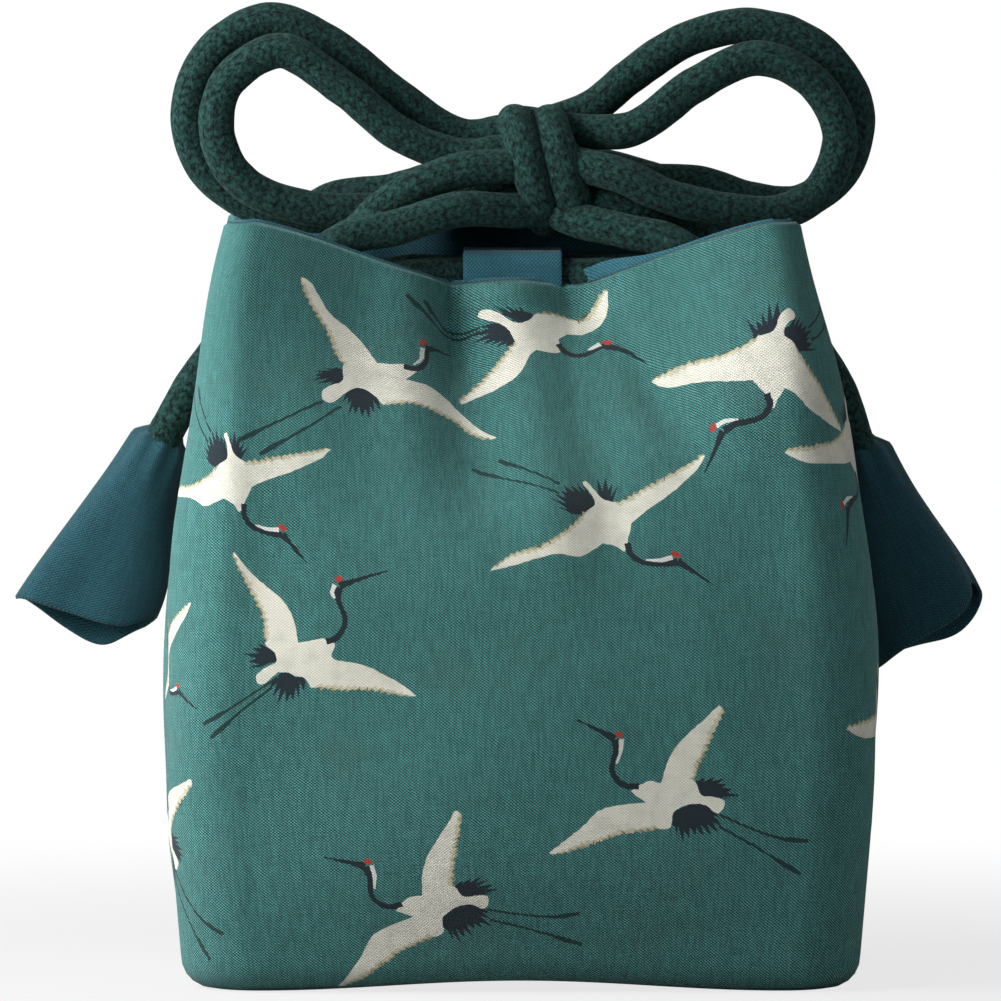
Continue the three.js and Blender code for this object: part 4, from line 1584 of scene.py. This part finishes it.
@dataclass
class Lining:
    """The plain lining inside the bag, with its edge standing a little proud of the rim. Sizes in metres.

    The edge stands higher right of the front loop, and at the middle of the back. The front's place and
    spread are shares of half the front, and the back's spread is a share of a side with its corner.
    """

    gap: float = 0.0019
    thickness: float = 0.0008
    reveal: float = 0.0012
    front_reveal: float = 0.0028
    front_place: float = 0.33
    front_spread: float = 0.17
    back_reveal: float = 0.0030
    back_spread: float = 0.2
    outer_drop: float = 0.012
    hem: float = 0.002
    base_step: float = 0.005
    columns: int = 220
    rows: int = 70

    def build(self, finishes: Finishes) -> Piece:
        """Makes the lining.

        Args:
            finishes: The materials.

        Returns:
            The lining.
        """
        around = np.linspace(0.0, 4.0, self.columns, endpoint=False)
        girth = np.linspace(0.0, FORM.girth, self.columns + 1)
        reveal = self._reveal(around)
        lines = []
        ups = []
        for drop in np.linspace(self.outer_drop, 0.0, 5):
            lines.append(FORM.point(around, 2.0 + (reveal - drop) / FORM.height, self.gap))
            ups.append(-drop)
        for angle in np.linspace(0.0, math.pi, 5)[1:-1]:
            rise = 2.0 + (reveal + self.thickness / 2 * math.sin(angle)) / FORM.height
            lines.append(FORM.point(around, rise, self.gap + self.thickness / 2 * (1 - math.cos(angle))))
            ups.append(self.thickness / 2 * angle)
        inside = self.gap + self.thickness
        for share in np.linspace(1.0, 0.0, self.rows):
            lines.append(FORM.point(around, 1.0 + share * (1.0 + reveal / FORM.height), inside))
            ups.append(self.hem + (1.0 - share) * FORM.height)
        for share in (0.75, 0.5, 0.25, 0.0):
            lines.append(FORM.point(around, np.full_like(around, share), inside))
            ups.append(self.hem + FORM.height + (1.0 - share) * FORM.edge_length)
        edge = lines[-1]
        for share in np.linspace(0.9, 0.05, 8):
            lines.append(edge * np.array([share, share, 1.0]))
            ups.append(ups[-1] + self.base_step)
        uv = np.stack(np.meshgrid(girth, np.array(ups)), axis=-1)
        lining = grid_object("lining_cloth", np.stack(lines), uv)
        lining.data.materials.append(finishes.lining_cloth)
        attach(lining, ROOT)
        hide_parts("lining")
        return lining

    def _reveal(self, around: np.ndarray) -> np.ndarray:
        """How far the edge stands above the rim at each place round the bag.

        Args:
            around: Places round the bag, from 0 to 4.

        Returns:
            The heights in metres.
        """
        place = around / FORM.side_share * 2 - 1
        front = np.exp(-(((place - self.front_place) / self.front_spread) ** 2)) * (around < FORM.side_share)
        back = np.exp(-(((around - 2.0 - FORM.side_share / 2) / self.back_spread) ** 2))
        return self.reveal + self.front_reveal * front + self.back_reveal * back


# Cord loops


@dataclass
class CordLoop:
    """A folded cloth tab that carries the cords: a flattened ring, sewn inside the mouth. Sizes in metres.

    The wave's rates, along the loop and up it, are in radians for each metre.
    """

    node: str
    along_x: bool
    cloth: float = 0.0009
    corner: float = 0.0020
    wave: float = 0.0002
    wave_along: float = 520.0
    wave_up: float = 300.0
    edge_bevel: float = 0.00025
    spacing: float = 0.0009
    courses: int = 15

    def build(self, finishes: Finishes) -> Piece:
        """Makes the loop in the place of its solid.

        Args:
            finishes: The materials.

        Returns:
            The loop.
        """
        low, high = (np.array(corner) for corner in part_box(self.node))
        middle = (low + high) / 2
        half = (high - low) / 2
        wide, deep = half[:2] if self.along_x else half[1::-1]
        mid = self.cloth / 2
        ring = self._ring(deep - mid, half[2] - mid, self.corner + mid)
        reach = reach_along(np.vstack([ring, ring[:1]]))
        steps = np.linspace(-wide, wide, self.courses)
        lines = []
        for step in steps:
            course = np.full(len(ring), step)
            across = ring[:, 0] + self.wave * np.sin(step * self.wave_along + ring[:, 1] * self.wave_up)
            line = (course, across) if self.along_x else (across, -course)
            lines.append(np.stack([*line, ring[:, 1]], axis=1) + middle)
        uv = np.stack(np.meshgrid(reach, steps - steps[0]), axis=-1)
        loop = grid_object(self.node + "_cloth", np.stack(lines), uv)
        apply_modifier(loop, "SOLIDIFY", thickness=self.cloth, offset=0.0)
        bevel = {"width": self.edge_bevel, "segments": 2, "limit_method": "ANGLE", "angle_limit": 0.9}
        apply_modifier(loop, "BEVEL", **bevel)
        shade_smooth(loop.data)
        loop.data.materials.append(finishes.lining_cloth)
        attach(loop, ROOT)
        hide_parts(self.node)
        return loop

    def _ring(self, deep: float, tall: float, corner: float) -> np.ndarray:
        """The loop's rounded outline across the cords, anticlockwise.

        Args:
            deep: Half its depth.
            tall: Half its height.
            corner: The radius of its corners.

        Returns:
            The points, by depth and height.
        """
        points = []
        for turn, (cx, cz) in enumerate(((1, 1), (-1, 1), (-1, -1), (1, -1))):
            for angle in np.linspace(turn * QUARTER_TURN, (turn + 1) * QUARTER_TURN, 6):
                across = cx * (deep - corner) + corner * math.cos(angle)
                points.append((across, cz * (tall - corner) + corner * math.sin(angle)))
        return smooth_route(np.array([*points, points[0]]), self.spacing)[:-1]


# Cords

RIM_LEVEL = FORM.height - FORM.front_dip


def loop_turn(far_side: float, level: float) -> list[Place]:
    """The points of a cord through the front loop, the far side loop and the back loop.

    Args:
        far_side: 1 for the loop on the right, -1 for the loop on the left.
        level: The cord's height above the rim's lowest point, in millimetres.

    Returns:
        The points in millimetres.
    """
    loop_x, loop_y = 37.6, 8.4
    half = [
        (-far_side * 11.0, -loop_y),
        (0.0, -loop_y),
        (far_side * 11.0, -loop_y),
        (far_side * (loop_x - 10.0), -11.0),
        (far_side * (loop_x - 1.0), -6.0),
    ]
    back = [(x, -y) for x, y in reversed(half)]
    shift = FORM.mouth_shift / MM
    return [(shift + x, y, level) for x, y in half + [(far_side * (loop_x + 0.6), 0.0)] + back]


LEFT_RUN: Route = (
    (4, -8, 17), (-14, -15.5, 16.5), (-28, -18, 12.5), (-38, -19.5, 10.5), (-44, -21, 6), (-41, -21, 0.6),
    (-31, -17.5, 0.4), (-23.4, -12, 1.4), *loop_turn(1, 1.5), (-24.2, 12.3, 1.4), (-34, 18.5, 0.4),
    (-43, 19.5, 2), (-44.5, 12, 5.5), (-43, 2, 6.8), (-38, -7, 9.8), (-28, -11.5, 18.8), (-14, -11.5, 25),
    (4, -8.8, 26.4),
)
RIGHT_RUN: Route = (
    (9, -8, 15.5), (22, -15.5, 12), (33, -18.5, 9.5), (41, -20.5, 3.5), (38.5, -20.5, -4.5),
    (30, -17, -8.7), (19, -12, -8.2), *loop_turn(-1, -7.3), (20.5, 13, -9), (32.5, 18, -8.5),
    (40.5, 20, -3.5), (41.5, 14, 6), (37.5, 4, 13.4), (30, -5, 15), (20, -7.5, 17), (10, -4, 20),
)
LEFT_EAR_OUTER: Route = (
    (3, 2.5, 34), (-13, 5.6, 32.2), (-28, 5.5, 41.5), (-42, 4.5, 52.5), (-56, 4, 58.4), (-69, 4, 51.5),
    (-74.6, 4.5, 38), (-70.5, 6, 24.5), (-57, 8, 15.5), (-38, 9.5, 14.5), (-14, 10.2, 15.5), (4, 3, 18.5),
)
LEFT_EAR_INNER: Route = (
    (3, -3.5, 30), (-13, -2.5, 28), (-27, -3.5, 33), (-40, -4, 43.5), (-54, -4, 51.6), (-65.5, -4, 44.5),
    (-68, -3.5, 33), (-62, -2.5, 22), (-48, -1, 16.4), (-32, 0.5, 15.8), (-14, 0.4, 18.2), (3, -2.5, 23),
)
RIGHT_EAR_OUTER: Route = (
    (8, 2, 33.5), (15.5, 4, 38.5), (24, 5.5, 45.2), (37, 5.5, 53.8), (52, 5, 57), (67, 4.5, 51.5),
    (75.4, 4.5, 38), (72.5, 6, 25), (63, 8, 17.4), (52, 8.5, 18), (40, 9, 21.5), (26, 9, 22),
    (8, 2.5, 23.5),
)
RIGHT_EAR_INNER: Route = (
    (8, -4.5, 31), (24, -4.5, 34), (39, -4, 44), (53, -4, 50), (65.5, -4, 44.5), (71.4, -4, 33),
    (67, -4.5, 20.5), (58, -7, 15.6), (47, -10.5, 16), (33, -13, 19.3), (21, -13.5, 24.5), (9, -7, 26),
)
LEFT_TAIL_NEAR: Route = (
    (0, 2, 26), (-2, 13, 26.5), (-13, 22, 24.2), (-28, 29.5, 19.4), (-44, 38, 16.4), (-58, 45.5, 4.5),
    (-63.5, 47.5, -9),
)
LEFT_TAIL_FAR: Route = (
    (6.8, 2, 14.6), (5.5, 13, 15.4), (-3, 25, 16), (-21, 35.8, 14), (-39.5, 46, 10.5), (-55, 54, 1),
    (-62.5, 56.2, -11),
)
RIGHT_TAIL_NEAR: Route = (
    (8.6, 2, 26.5), (9, 13, 27), (23, 22, 24), (37, 29.5, 19.6), (49, 38, 17), (57.5, 46, 4.5),
    (62.5, 48, -9.5),
)
RIGHT_TAIL_FAR: Route = (
    (13.5, 2, 15), (14.5, 13, 15.4), (20, 25, 15.8), (32, 35.8, 13.8), (45, 46, 10.5), (55.5, 54.5, 0.5),
    (61.5, 56.6, -11.5),
)


@dataclass(frozen=True)
class SleeveHang:
    """Where a cord-end sleeve hangs: its top, from the rim's level, and its lean in degrees.

    Sizes are in millimetres. The two strands of the cord lie beside each other, and their ends lie a depth
    below the sleeve's top.
    """

    top: Place
    lean: float
    strand_offset: float = 4.4
    depth: float = 10.0

    @property
    def axis(self) -> np.ndarray:
        """The direction from the sleeve's mouth to its top."""
        return np.array([math.sin(math.radians(self.lean)), 0.0, math.cos(math.radians(self.lean))])

    def tail_end(self, strand: int) -> list[Place]:
        """The last points of a strand, -1 in front or 1 behind, which runs into the sleeve."""
        start = np.array(self.top) + np.array([0.0, strand * self.strand_offset, 0.0])
        return [tuple(start + self.axis * rise) for rise in (12.0, 0.3, -self.depth)]


LEFT_HANG = SleeveHang((-80.7, 52.0, -36.4), 29.0)
RIGHT_HANG = SleeveHang((76.5, 52.0, -38.3), -18.5)


@dataclass
class DrawCord:
    """One drawcord from end to end: both ends are in its sleeve, and it is doubled in the bow.

    The route is in millimetres from the rim's level, and other sizes are in metres. The grain and the sway
    are shares of the radius, and the sway's rates are in radians for each metre.
    """

    name: str
    route: list[Place]
    nodes: tuple[str, ...]
    diameter: float = 0.008
    sides: int = 28
    spacing: float = 0.0010
    grain: float = 0.055
    sway: float = 0.012
    sway_rate: float = 260.0
    twist_rate: float = 90.0
    seed: int = 5

    def build(self, finishes: Finishes) -> tuple[Piece, np.ndarray]:
        """Makes the cord along its route.

        Args:
            finishes: The materials.

        Returns:
            The cord, and the points that it follows.
        """
        points = np.array(self.route, dtype=float) * MM
        points[:, 2] += RIM_LEVEL
        line = smooth_route(points, self.spacing)
        step = unit(np.gradient(line, axis=0))
        across = np.empty_like(line)
        across[0] = unit(np.cross(step[0], [0.0, 1.0, 0.0]))
        for i in range(1, len(line)):
            across[i] = unit(across[i - 1] - step[i] * np.dot(across[i - 1], step[i]))
        other = np.cross(step, across)
        angle = np.linspace(0.0, 2 * math.pi, self.sides, endpoint=False)
        reach = reach_along(line)
        radius = self._radius(reach, angle)
        rings = (
            line[:, None, :]
            + (radius * np.cos(angle))[..., None] * across[:, None, :]
            + (radius * np.sin(angle))[..., None] * other[:, None, :]
        )
        turns = np.linspace(0.0, math.pi * self.diameter, self.sides + 1)
        uv = np.stack(np.meshgrid(reach, turns, indexing="ij"), axis=-1)
        cord = grid_object(self.name, rings, uv)
        cord.data.materials.append(finishes.cord_knit)
        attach(cord, ROOT)
        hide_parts(*self.nodes)
        return cord, line

    def _radius(self, reach: np.ndarray, angle: np.ndarray) -> np.ndarray:
        """The uneven radius of the soft cord, along it and round it.

        Args:
            reach: Distances along the cord.
            angle: Angles round it.

        Returns:
            A radius for each distance and angle.
        """
        grain = np.random.default_rng(self.seed).normal(0.0, 1.0, (len(reach), self.sides))
        for _ in range(2):
            grain = (np.roll(grain, 1, axis=1) + grain + np.roll(grain, -1, axis=1)) / 3
            grain[1:-1] = (grain[:-2] + grain[1:-1] + grain[2:]) / 3
        twist = np.cos(angle * 2 + reach[:, None] * self.twist_rate)
        sway = self.sway * np.sin(reach * self.sway_rate)[:, None] * twist
        return self.diameter / 2 * (1.0 + self.grain * grain + sway)


def wrap_turn(shift: float) -> list[Place]:
    """One turn of cord over the knot, from its top down the front and up behind.

    Args:
        shift: Where the turn lies along the knot, in millimetres from its middle.

    Returns:
        The points in millimetres.
    """
    middle_x, middle_y, middle_z = 6.0, -2.0, 25.0
    half_depth, half_height = 9.9, 11.5
    lean = math.radians(-16.0)
    points = []
    for angle in np.radians((70, 110, 150, 185, 220, 260, 300, 335)):
        y = -half_depth * math.sin(angle - QUARTER_TURN)
        z = half_height * math.cos(angle - QUARTER_TURN)
        points.append((middle_x + shift + z * math.sin(lean), middle_y + y, middle_z + z * math.cos(lean)))
    return points


def left_route() -> list[Place]:
    """The whole route of the left cord, from its sleeve through the bow and the mouth and back.

    Returns:
        The points in millimetres.
    """
    return [
        *reversed(LEFT_HANG.tail_end(-1)),
        *reversed(LEFT_TAIL_NEAR),
        (8, 0, 21),
        *reversed(LEFT_EAR_OUTER),
        (10, -3, 27),
        *LEFT_RUN,
        (10, -5, 28),
        *LEFT_EAR_INNER,
        (9, 0, 19),
        *LEFT_TAIL_FAR,
        *LEFT_HANG.tail_end(1),
    ]


def right_route() -> list[Place]:
    """The whole route of the right cord, which also makes the turns over the knot.

    Returns:
        The points in millimetres.
    """
    return [
        *reversed(RIGHT_HANG.tail_end(-1)),
        *reversed(RIGHT_TAIL_NEAR),
        (5, 0, 24),
        *reversed(RIGHT_EAR_OUTER[1:]),
        *wrap_turn(3.8),
        (9, 1, 20),
        *RIGHT_RUN,
        (5, 0, 25),
        *reversed(wrap_turn(-3.8)),
        *RIGHT_EAR_INNER[1:],
        (6, 0, 20),
        *RIGHT_TAIL_FAR,
        *RIGHT_HANG.tail_end(1),
    ]


# Cord-end sleeves


@dataclass
class CordSleeve:
    """A soft cloth sleeve over the two ends of a cord, gathered on them and open below. Sizes in metres.

    At the mouth, lift raises the front of the edge, slant raises its right, and swing moves all of it
    sideways. The gathers and the slack are shares of the sleeve's width and depth.
    """

    node: str
    hang: SleeveHang
    phase: float
    lift: float
    swing: float
    slant: float
    length: float = 0.050
    top_width: float = 0.013
    top_depth: float = 0.019
    mouth_width: float = 0.031
    mouth_depth: float = 0.015
    cloth: float = 0.0009
    hem: float = 0.014
    hem_turn: float = 0.0004
    hem_rows: int = 12
    top_turn: float = 0.0005
    tied_share: float = 0.55
    tied_length: float = 0.0035
    gathers: float = 0.05
    gather_length: float = 0.020
    slack: tuple[float, float] = (0.075, 0.045)
    wave: float = 0.0010
    sides: int = 84
    rows: int = 46

    def build(self, finishes: Finishes) -> Piece:
        """Makes the sleeve where its solid hangs.

        Args:
            finishes: The materials.

        Returns:
            The sleeve.
        """
        courses = self._courses()
        points = np.stack([self._course(drop, inset) for drop, inset in courses])
        ups = [drop if inset == 0 else 2 * self.length - drop for drop, inset in courses]
        lean = math.radians(self.hang.lean)
        top = np.array(self.hang.top) * MM + np.array([0.0, 0.0, RIM_LEVEL])
        x = points[..., 0] * math.cos(lean) + points[..., 2] * math.sin(lean)
        z = points[..., 2] * math.cos(lean) - points[..., 0] * math.sin(lean)
        placed = np.stack([x, points[..., 1], z], axis=-1) + top
        girth = math.pi * (self.mouth_width + self.mouth_depth) / 2
        uv = np.stack(np.meshgrid(np.linspace(0.0, girth, self.sides + 1), np.array(ups)), axis=-1)
        sleeve = grid_object(self.node + "_cloth", placed[::-1], uv[::-1])
        sleeve.data.materials.append(finishes.sleeve_cloth)
        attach(sleeve, ROOT)
        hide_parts(self.node)
        return sleeve

    def _courses(self) -> list[tuple[float, float]]:
        """How far each course of cloth hangs below the top, and how far inside it lies.

        Returns:
            The drop and the inset of each course.
        """
        outside = [(float(drop), 0.0) for drop in np.linspace(-self.top_turn, self.length, self.rows)]
        edge = [(self.length + self.hem_turn, self.cloth / 2)]
        hem = np.linspace(self.length, self.length - self.hem, self.hem_rows)
        inside = [(float(drop), self.cloth) for drop in hem]
        return outside + edge + inside

    def _course(self, drop: float, inset: float) -> np.ndarray:
        """The points of one course round the sleeve, before it leans.

        Args:
            drop: How far below the top.
            inset: How far inside the outer cloth.

        Returns:
            The points in metres.
        """
        angle = np.linspace(0.0, 2 * math.pi, self.sides, endpoint=False)
        below = np.array(drop)
        share = float(smooth_between(below / self.length, -0.15, 1.1))
        half_width = (self.top_width + (self.mouth_width - self.top_width) * share) / 2 - inset
        half_depth = (self.top_depth + (self.mouth_depth - self.top_depth) * share) / 2 - inset
        opened = float(smooth_between(below, -self.top_turn, self.tied_length))
        spread = self.tied_share + (1 - self.tied_share) * opened
        gather = self.gathers * (1 - smooth_between(below, 0.0, self.gather_length))
        gather = gather * np.cos(9 * angle + self.phase)
        slack = self.slack[0] * share * np.cos(3 * angle + self.phase + drop * 30)
        slack = slack + self.slack[1] * share * np.cos(5 * angle - self.phase)
        width = spread * (1.0 + gather + slack)
        edge = self.wave * share * np.cos(2 * angle + self.phase)
        edge = edge + self.lift * share**2 * np.clip(-np.sin(angle - 0.3), 0.0, 1.0)
        edge = edge + self.slant * share**2 * np.clip(np.cos(angle), 0.0, 1.0) ** 3
        across = half_width * np.cos(angle) * width + self.swing * share
        return np.stack([across, half_depth * np.sin(angle) * width, edge - drop], axis=1)


# Studio


@dataclass(frozen=True)
class Lamp:
    """A soft square lamp that faces the object: its place and size in metres, power in watts, and colour."""

    name: str
    place: Place
    size: float
    power: float
    colour: Colour = (1.0, 1.0, 1.0)

    def build(self, aim: Place) -> None:
        """Sets the lamp up.

        Args:
            aim: The place that it faces.
        """
        data = bpy.data.lights.new(self.name, "AREA")
        data.size = self.size
        data.energy = self.power
        data.color = self.colour
        lamp = bpy.data.objects.new(self.name, data)
        lamp.location = self.place
        lamp.rotation_euler = (Vector(aim) - Vector(self.place)).to_track_quat("-Z", "Y").to_euler()
        bpy.context.scene.collection.objects.link(lamp)


@dataclass
class Studio:
    """The floor, the lamps, the surround and the camera. Sizes in metres, elevation in degrees.

    Seen from the camera, the floor fades to white between the two reaches.
    """

    aim: Place = (-0.0045, 0.0, 0.1067)
    distance: float = 3.00
    elevation: float = 3.2
    view_width: float = 0.2245
    sensor: float = 36.0
    lamp_aim: Place = (0.0, 0.0, 0.1)
    floor_size: float = 8.0
    floor_grey: float = 0.40
    fade_reach: tuple[float, float] = (0.12, 0.42)
    fade_start: float = 0.77
    fill_light: float = 0.05
    lamps: tuple[Lamp, ...] = (
        Lamp("key_lamp", (-0.335, -0.270, 0.29), 0.22, 2.25, (1.0, 0.99, 0.975)),
        Lamp("left_lamp", (-0.75, -0.08, 0.50), 0.50, 8.6),
        Lamp("right_lamp", (0.40, -0.25, 0.20), 0.30, 0.44, (0.97, 0.99, 1.0)),
        Lamp("top_lamp", (-0.25, -0.30, 0.95), 0.50, 1.3),
    )

    def build(self) -> None:
        """Sets up the view and the light."""
        bpy.context.scene.view_settings.view_transform = "Standard"
        self._floor()
        self._surround()
        for lamp in self.lamps:
            lamp.build(self.lamp_aim)
        self._camera()

    def _floor(self) -> None:
        """A plain floor that keeps a faint shadow."""
        bpy.ops.object.select_all(action="DESELECT")
        bpy.ops.mesh.primitive_plane_add(size=self.floor_size, location=(0.0, 0.0, 0.0))
        floor = bpy.context.active_object
        floor.name = "studio_floor"
        floor.select_set(False)
        material = bpy.data.materials.new("studio_floor")
        sheet = NodeSheet(material)
        grey = (self.floor_grey, self.floor_grey, self.floor_grey, 1.0)
        plain = sheet.surface({"Base Color": grey, "Roughness": 0.9, "Specular IOR Level": 0.0})
        white = sheet.add("ShaderNodeEmission")
        reach = sheet.add("ShaderNodeVectorMath", operation="LENGTH")
        sheet.fill(reach, {0: sheet.add("ShaderNodeTexCoord").outputs["Object"]})
        fade = sheet.ramp(reach.outputs["Value"], *self.fade_reach, self.fade_start, 1.0)
        seen = sheet.add("ShaderNodeLightPath").outputs["Is Camera Ray"]
        mix = sheet.add("ShaderNodeMixShader")
        sheet.fill(mix, {0: sheet.math("MULTIPLY", seen, fade), 1: plain.outputs[0], 2: white.outputs[0]})
        sheet.fill(sheet.nodes["Material Output"], {"Surface": mix.outputs[0]})
        floor.data.materials.append(material)

    def _surround(self) -> None:
        """A white surround behind the object, and a dim even light from all sides."""
        world = bpy.data.worlds.new("studio_surround")
        bpy.context.scene.world = world
        sheet = NodeSheet(world)
        path = sheet.add("ShaderNodeLightPath").outputs
        seen = sheet.math("MAXIMUM", path["Is Camera Ray"], path["Is Glossy Ray"])
        clear = sheet.math("MAXIMUM", seen, path["Is Transmission Ray"])
        strength = sheet.ramp(clear, 0.0, 1.0, self.fill_light, 1.0)
        sheet.fill(sheet.nodes["Background"], {"Color": (1.0, 1.0, 1.0, 1.0), "Strength": strength})

    def _camera(self) -> None:
        """The camera, which looks slightly down at the bag from the front."""
        data = bpy.data.cameras.new("camera")
        data.sensor_width = self.sensor
        data.lens = self.sensor * self.distance / self.view_width
        data.clip_start = 0.01
        camera = bpy.data.objects.new("camera", data)
        lift = math.radians(self.elevation)
        aim = Vector(self.aim)
        camera.location = aim + self.distance * Vector((0.0, -math.cos(lift), math.sin(lift)))
        camera.rotation_euler = (aim - camera.location).to_track_quat("-Z", "Y").to_euler()
        bpy.context.scene.collection.objects.link(camera)
        bpy.context.scene.camera = camera


def build_cords(finishes: Finishes) -> None:
    """Args:
        finishes: The materials.
    """
    left_nodes = ("left_cord_run", "left_ear_outer", "left_ear_inner", "left_tail_near", "left_tail_far")
    right_nodes = (
        "right_cord_run",
        "right_ear_outer",
        "right_ear_inner",
        "right_tail_near",
        "right_tail_far",
        "bow_knot",
    )
    cords = (
        (
            DrawCord("left_cord", left_route(), left_nodes),
            CordSleeve("left_sleeve", LEFT_HANG, phase=0.6, lift=0.0055, swing=0.0035, slant=0.0095),
        ),
        (
            DrawCord("right_cord", right_route(), right_nodes),
            CordSleeve("right_sleeve", RIGHT_HANG, phase=2.1, lift=0.0030, swing=0.0015, slant=0.0105),
        ),
    )
    for cord, sleeve in cords:
        sleeve_piece = sleeve.build(finishes)
        LOG.info("%s is ready", sleeve_piece.name)
        piece, line = cord.build(finishes)


def main() -> None:
    """Builds the pouch and the studio, and logs the bag's face count and the pieces that are ready."""
    logging.basicConfig(level=logging.INFO, format="%(name)s: %(message)s")
    finishes = Finishes.build()
    Studio().build()
    build_cords(finishes)
    bag = OuterBag().build(finishes)
    LOG.info("outer bag has %d faces", len(bag.data.polygons))
    lining = Lining().build(finishes)
    LOG.info("%s is ready", lining.name)
    for node, along_x in (
        ("front_cord_loop", True),
        ("back_cord_loop", True),
        ("left_cord_loop", False),
        ("right_cord_loop", False),
    ):
        loop = CordLoop(node, along_x).build(finishes)
        LOG.info("%s is ready", loop.name)


if __name__ == "__main__":
    main()
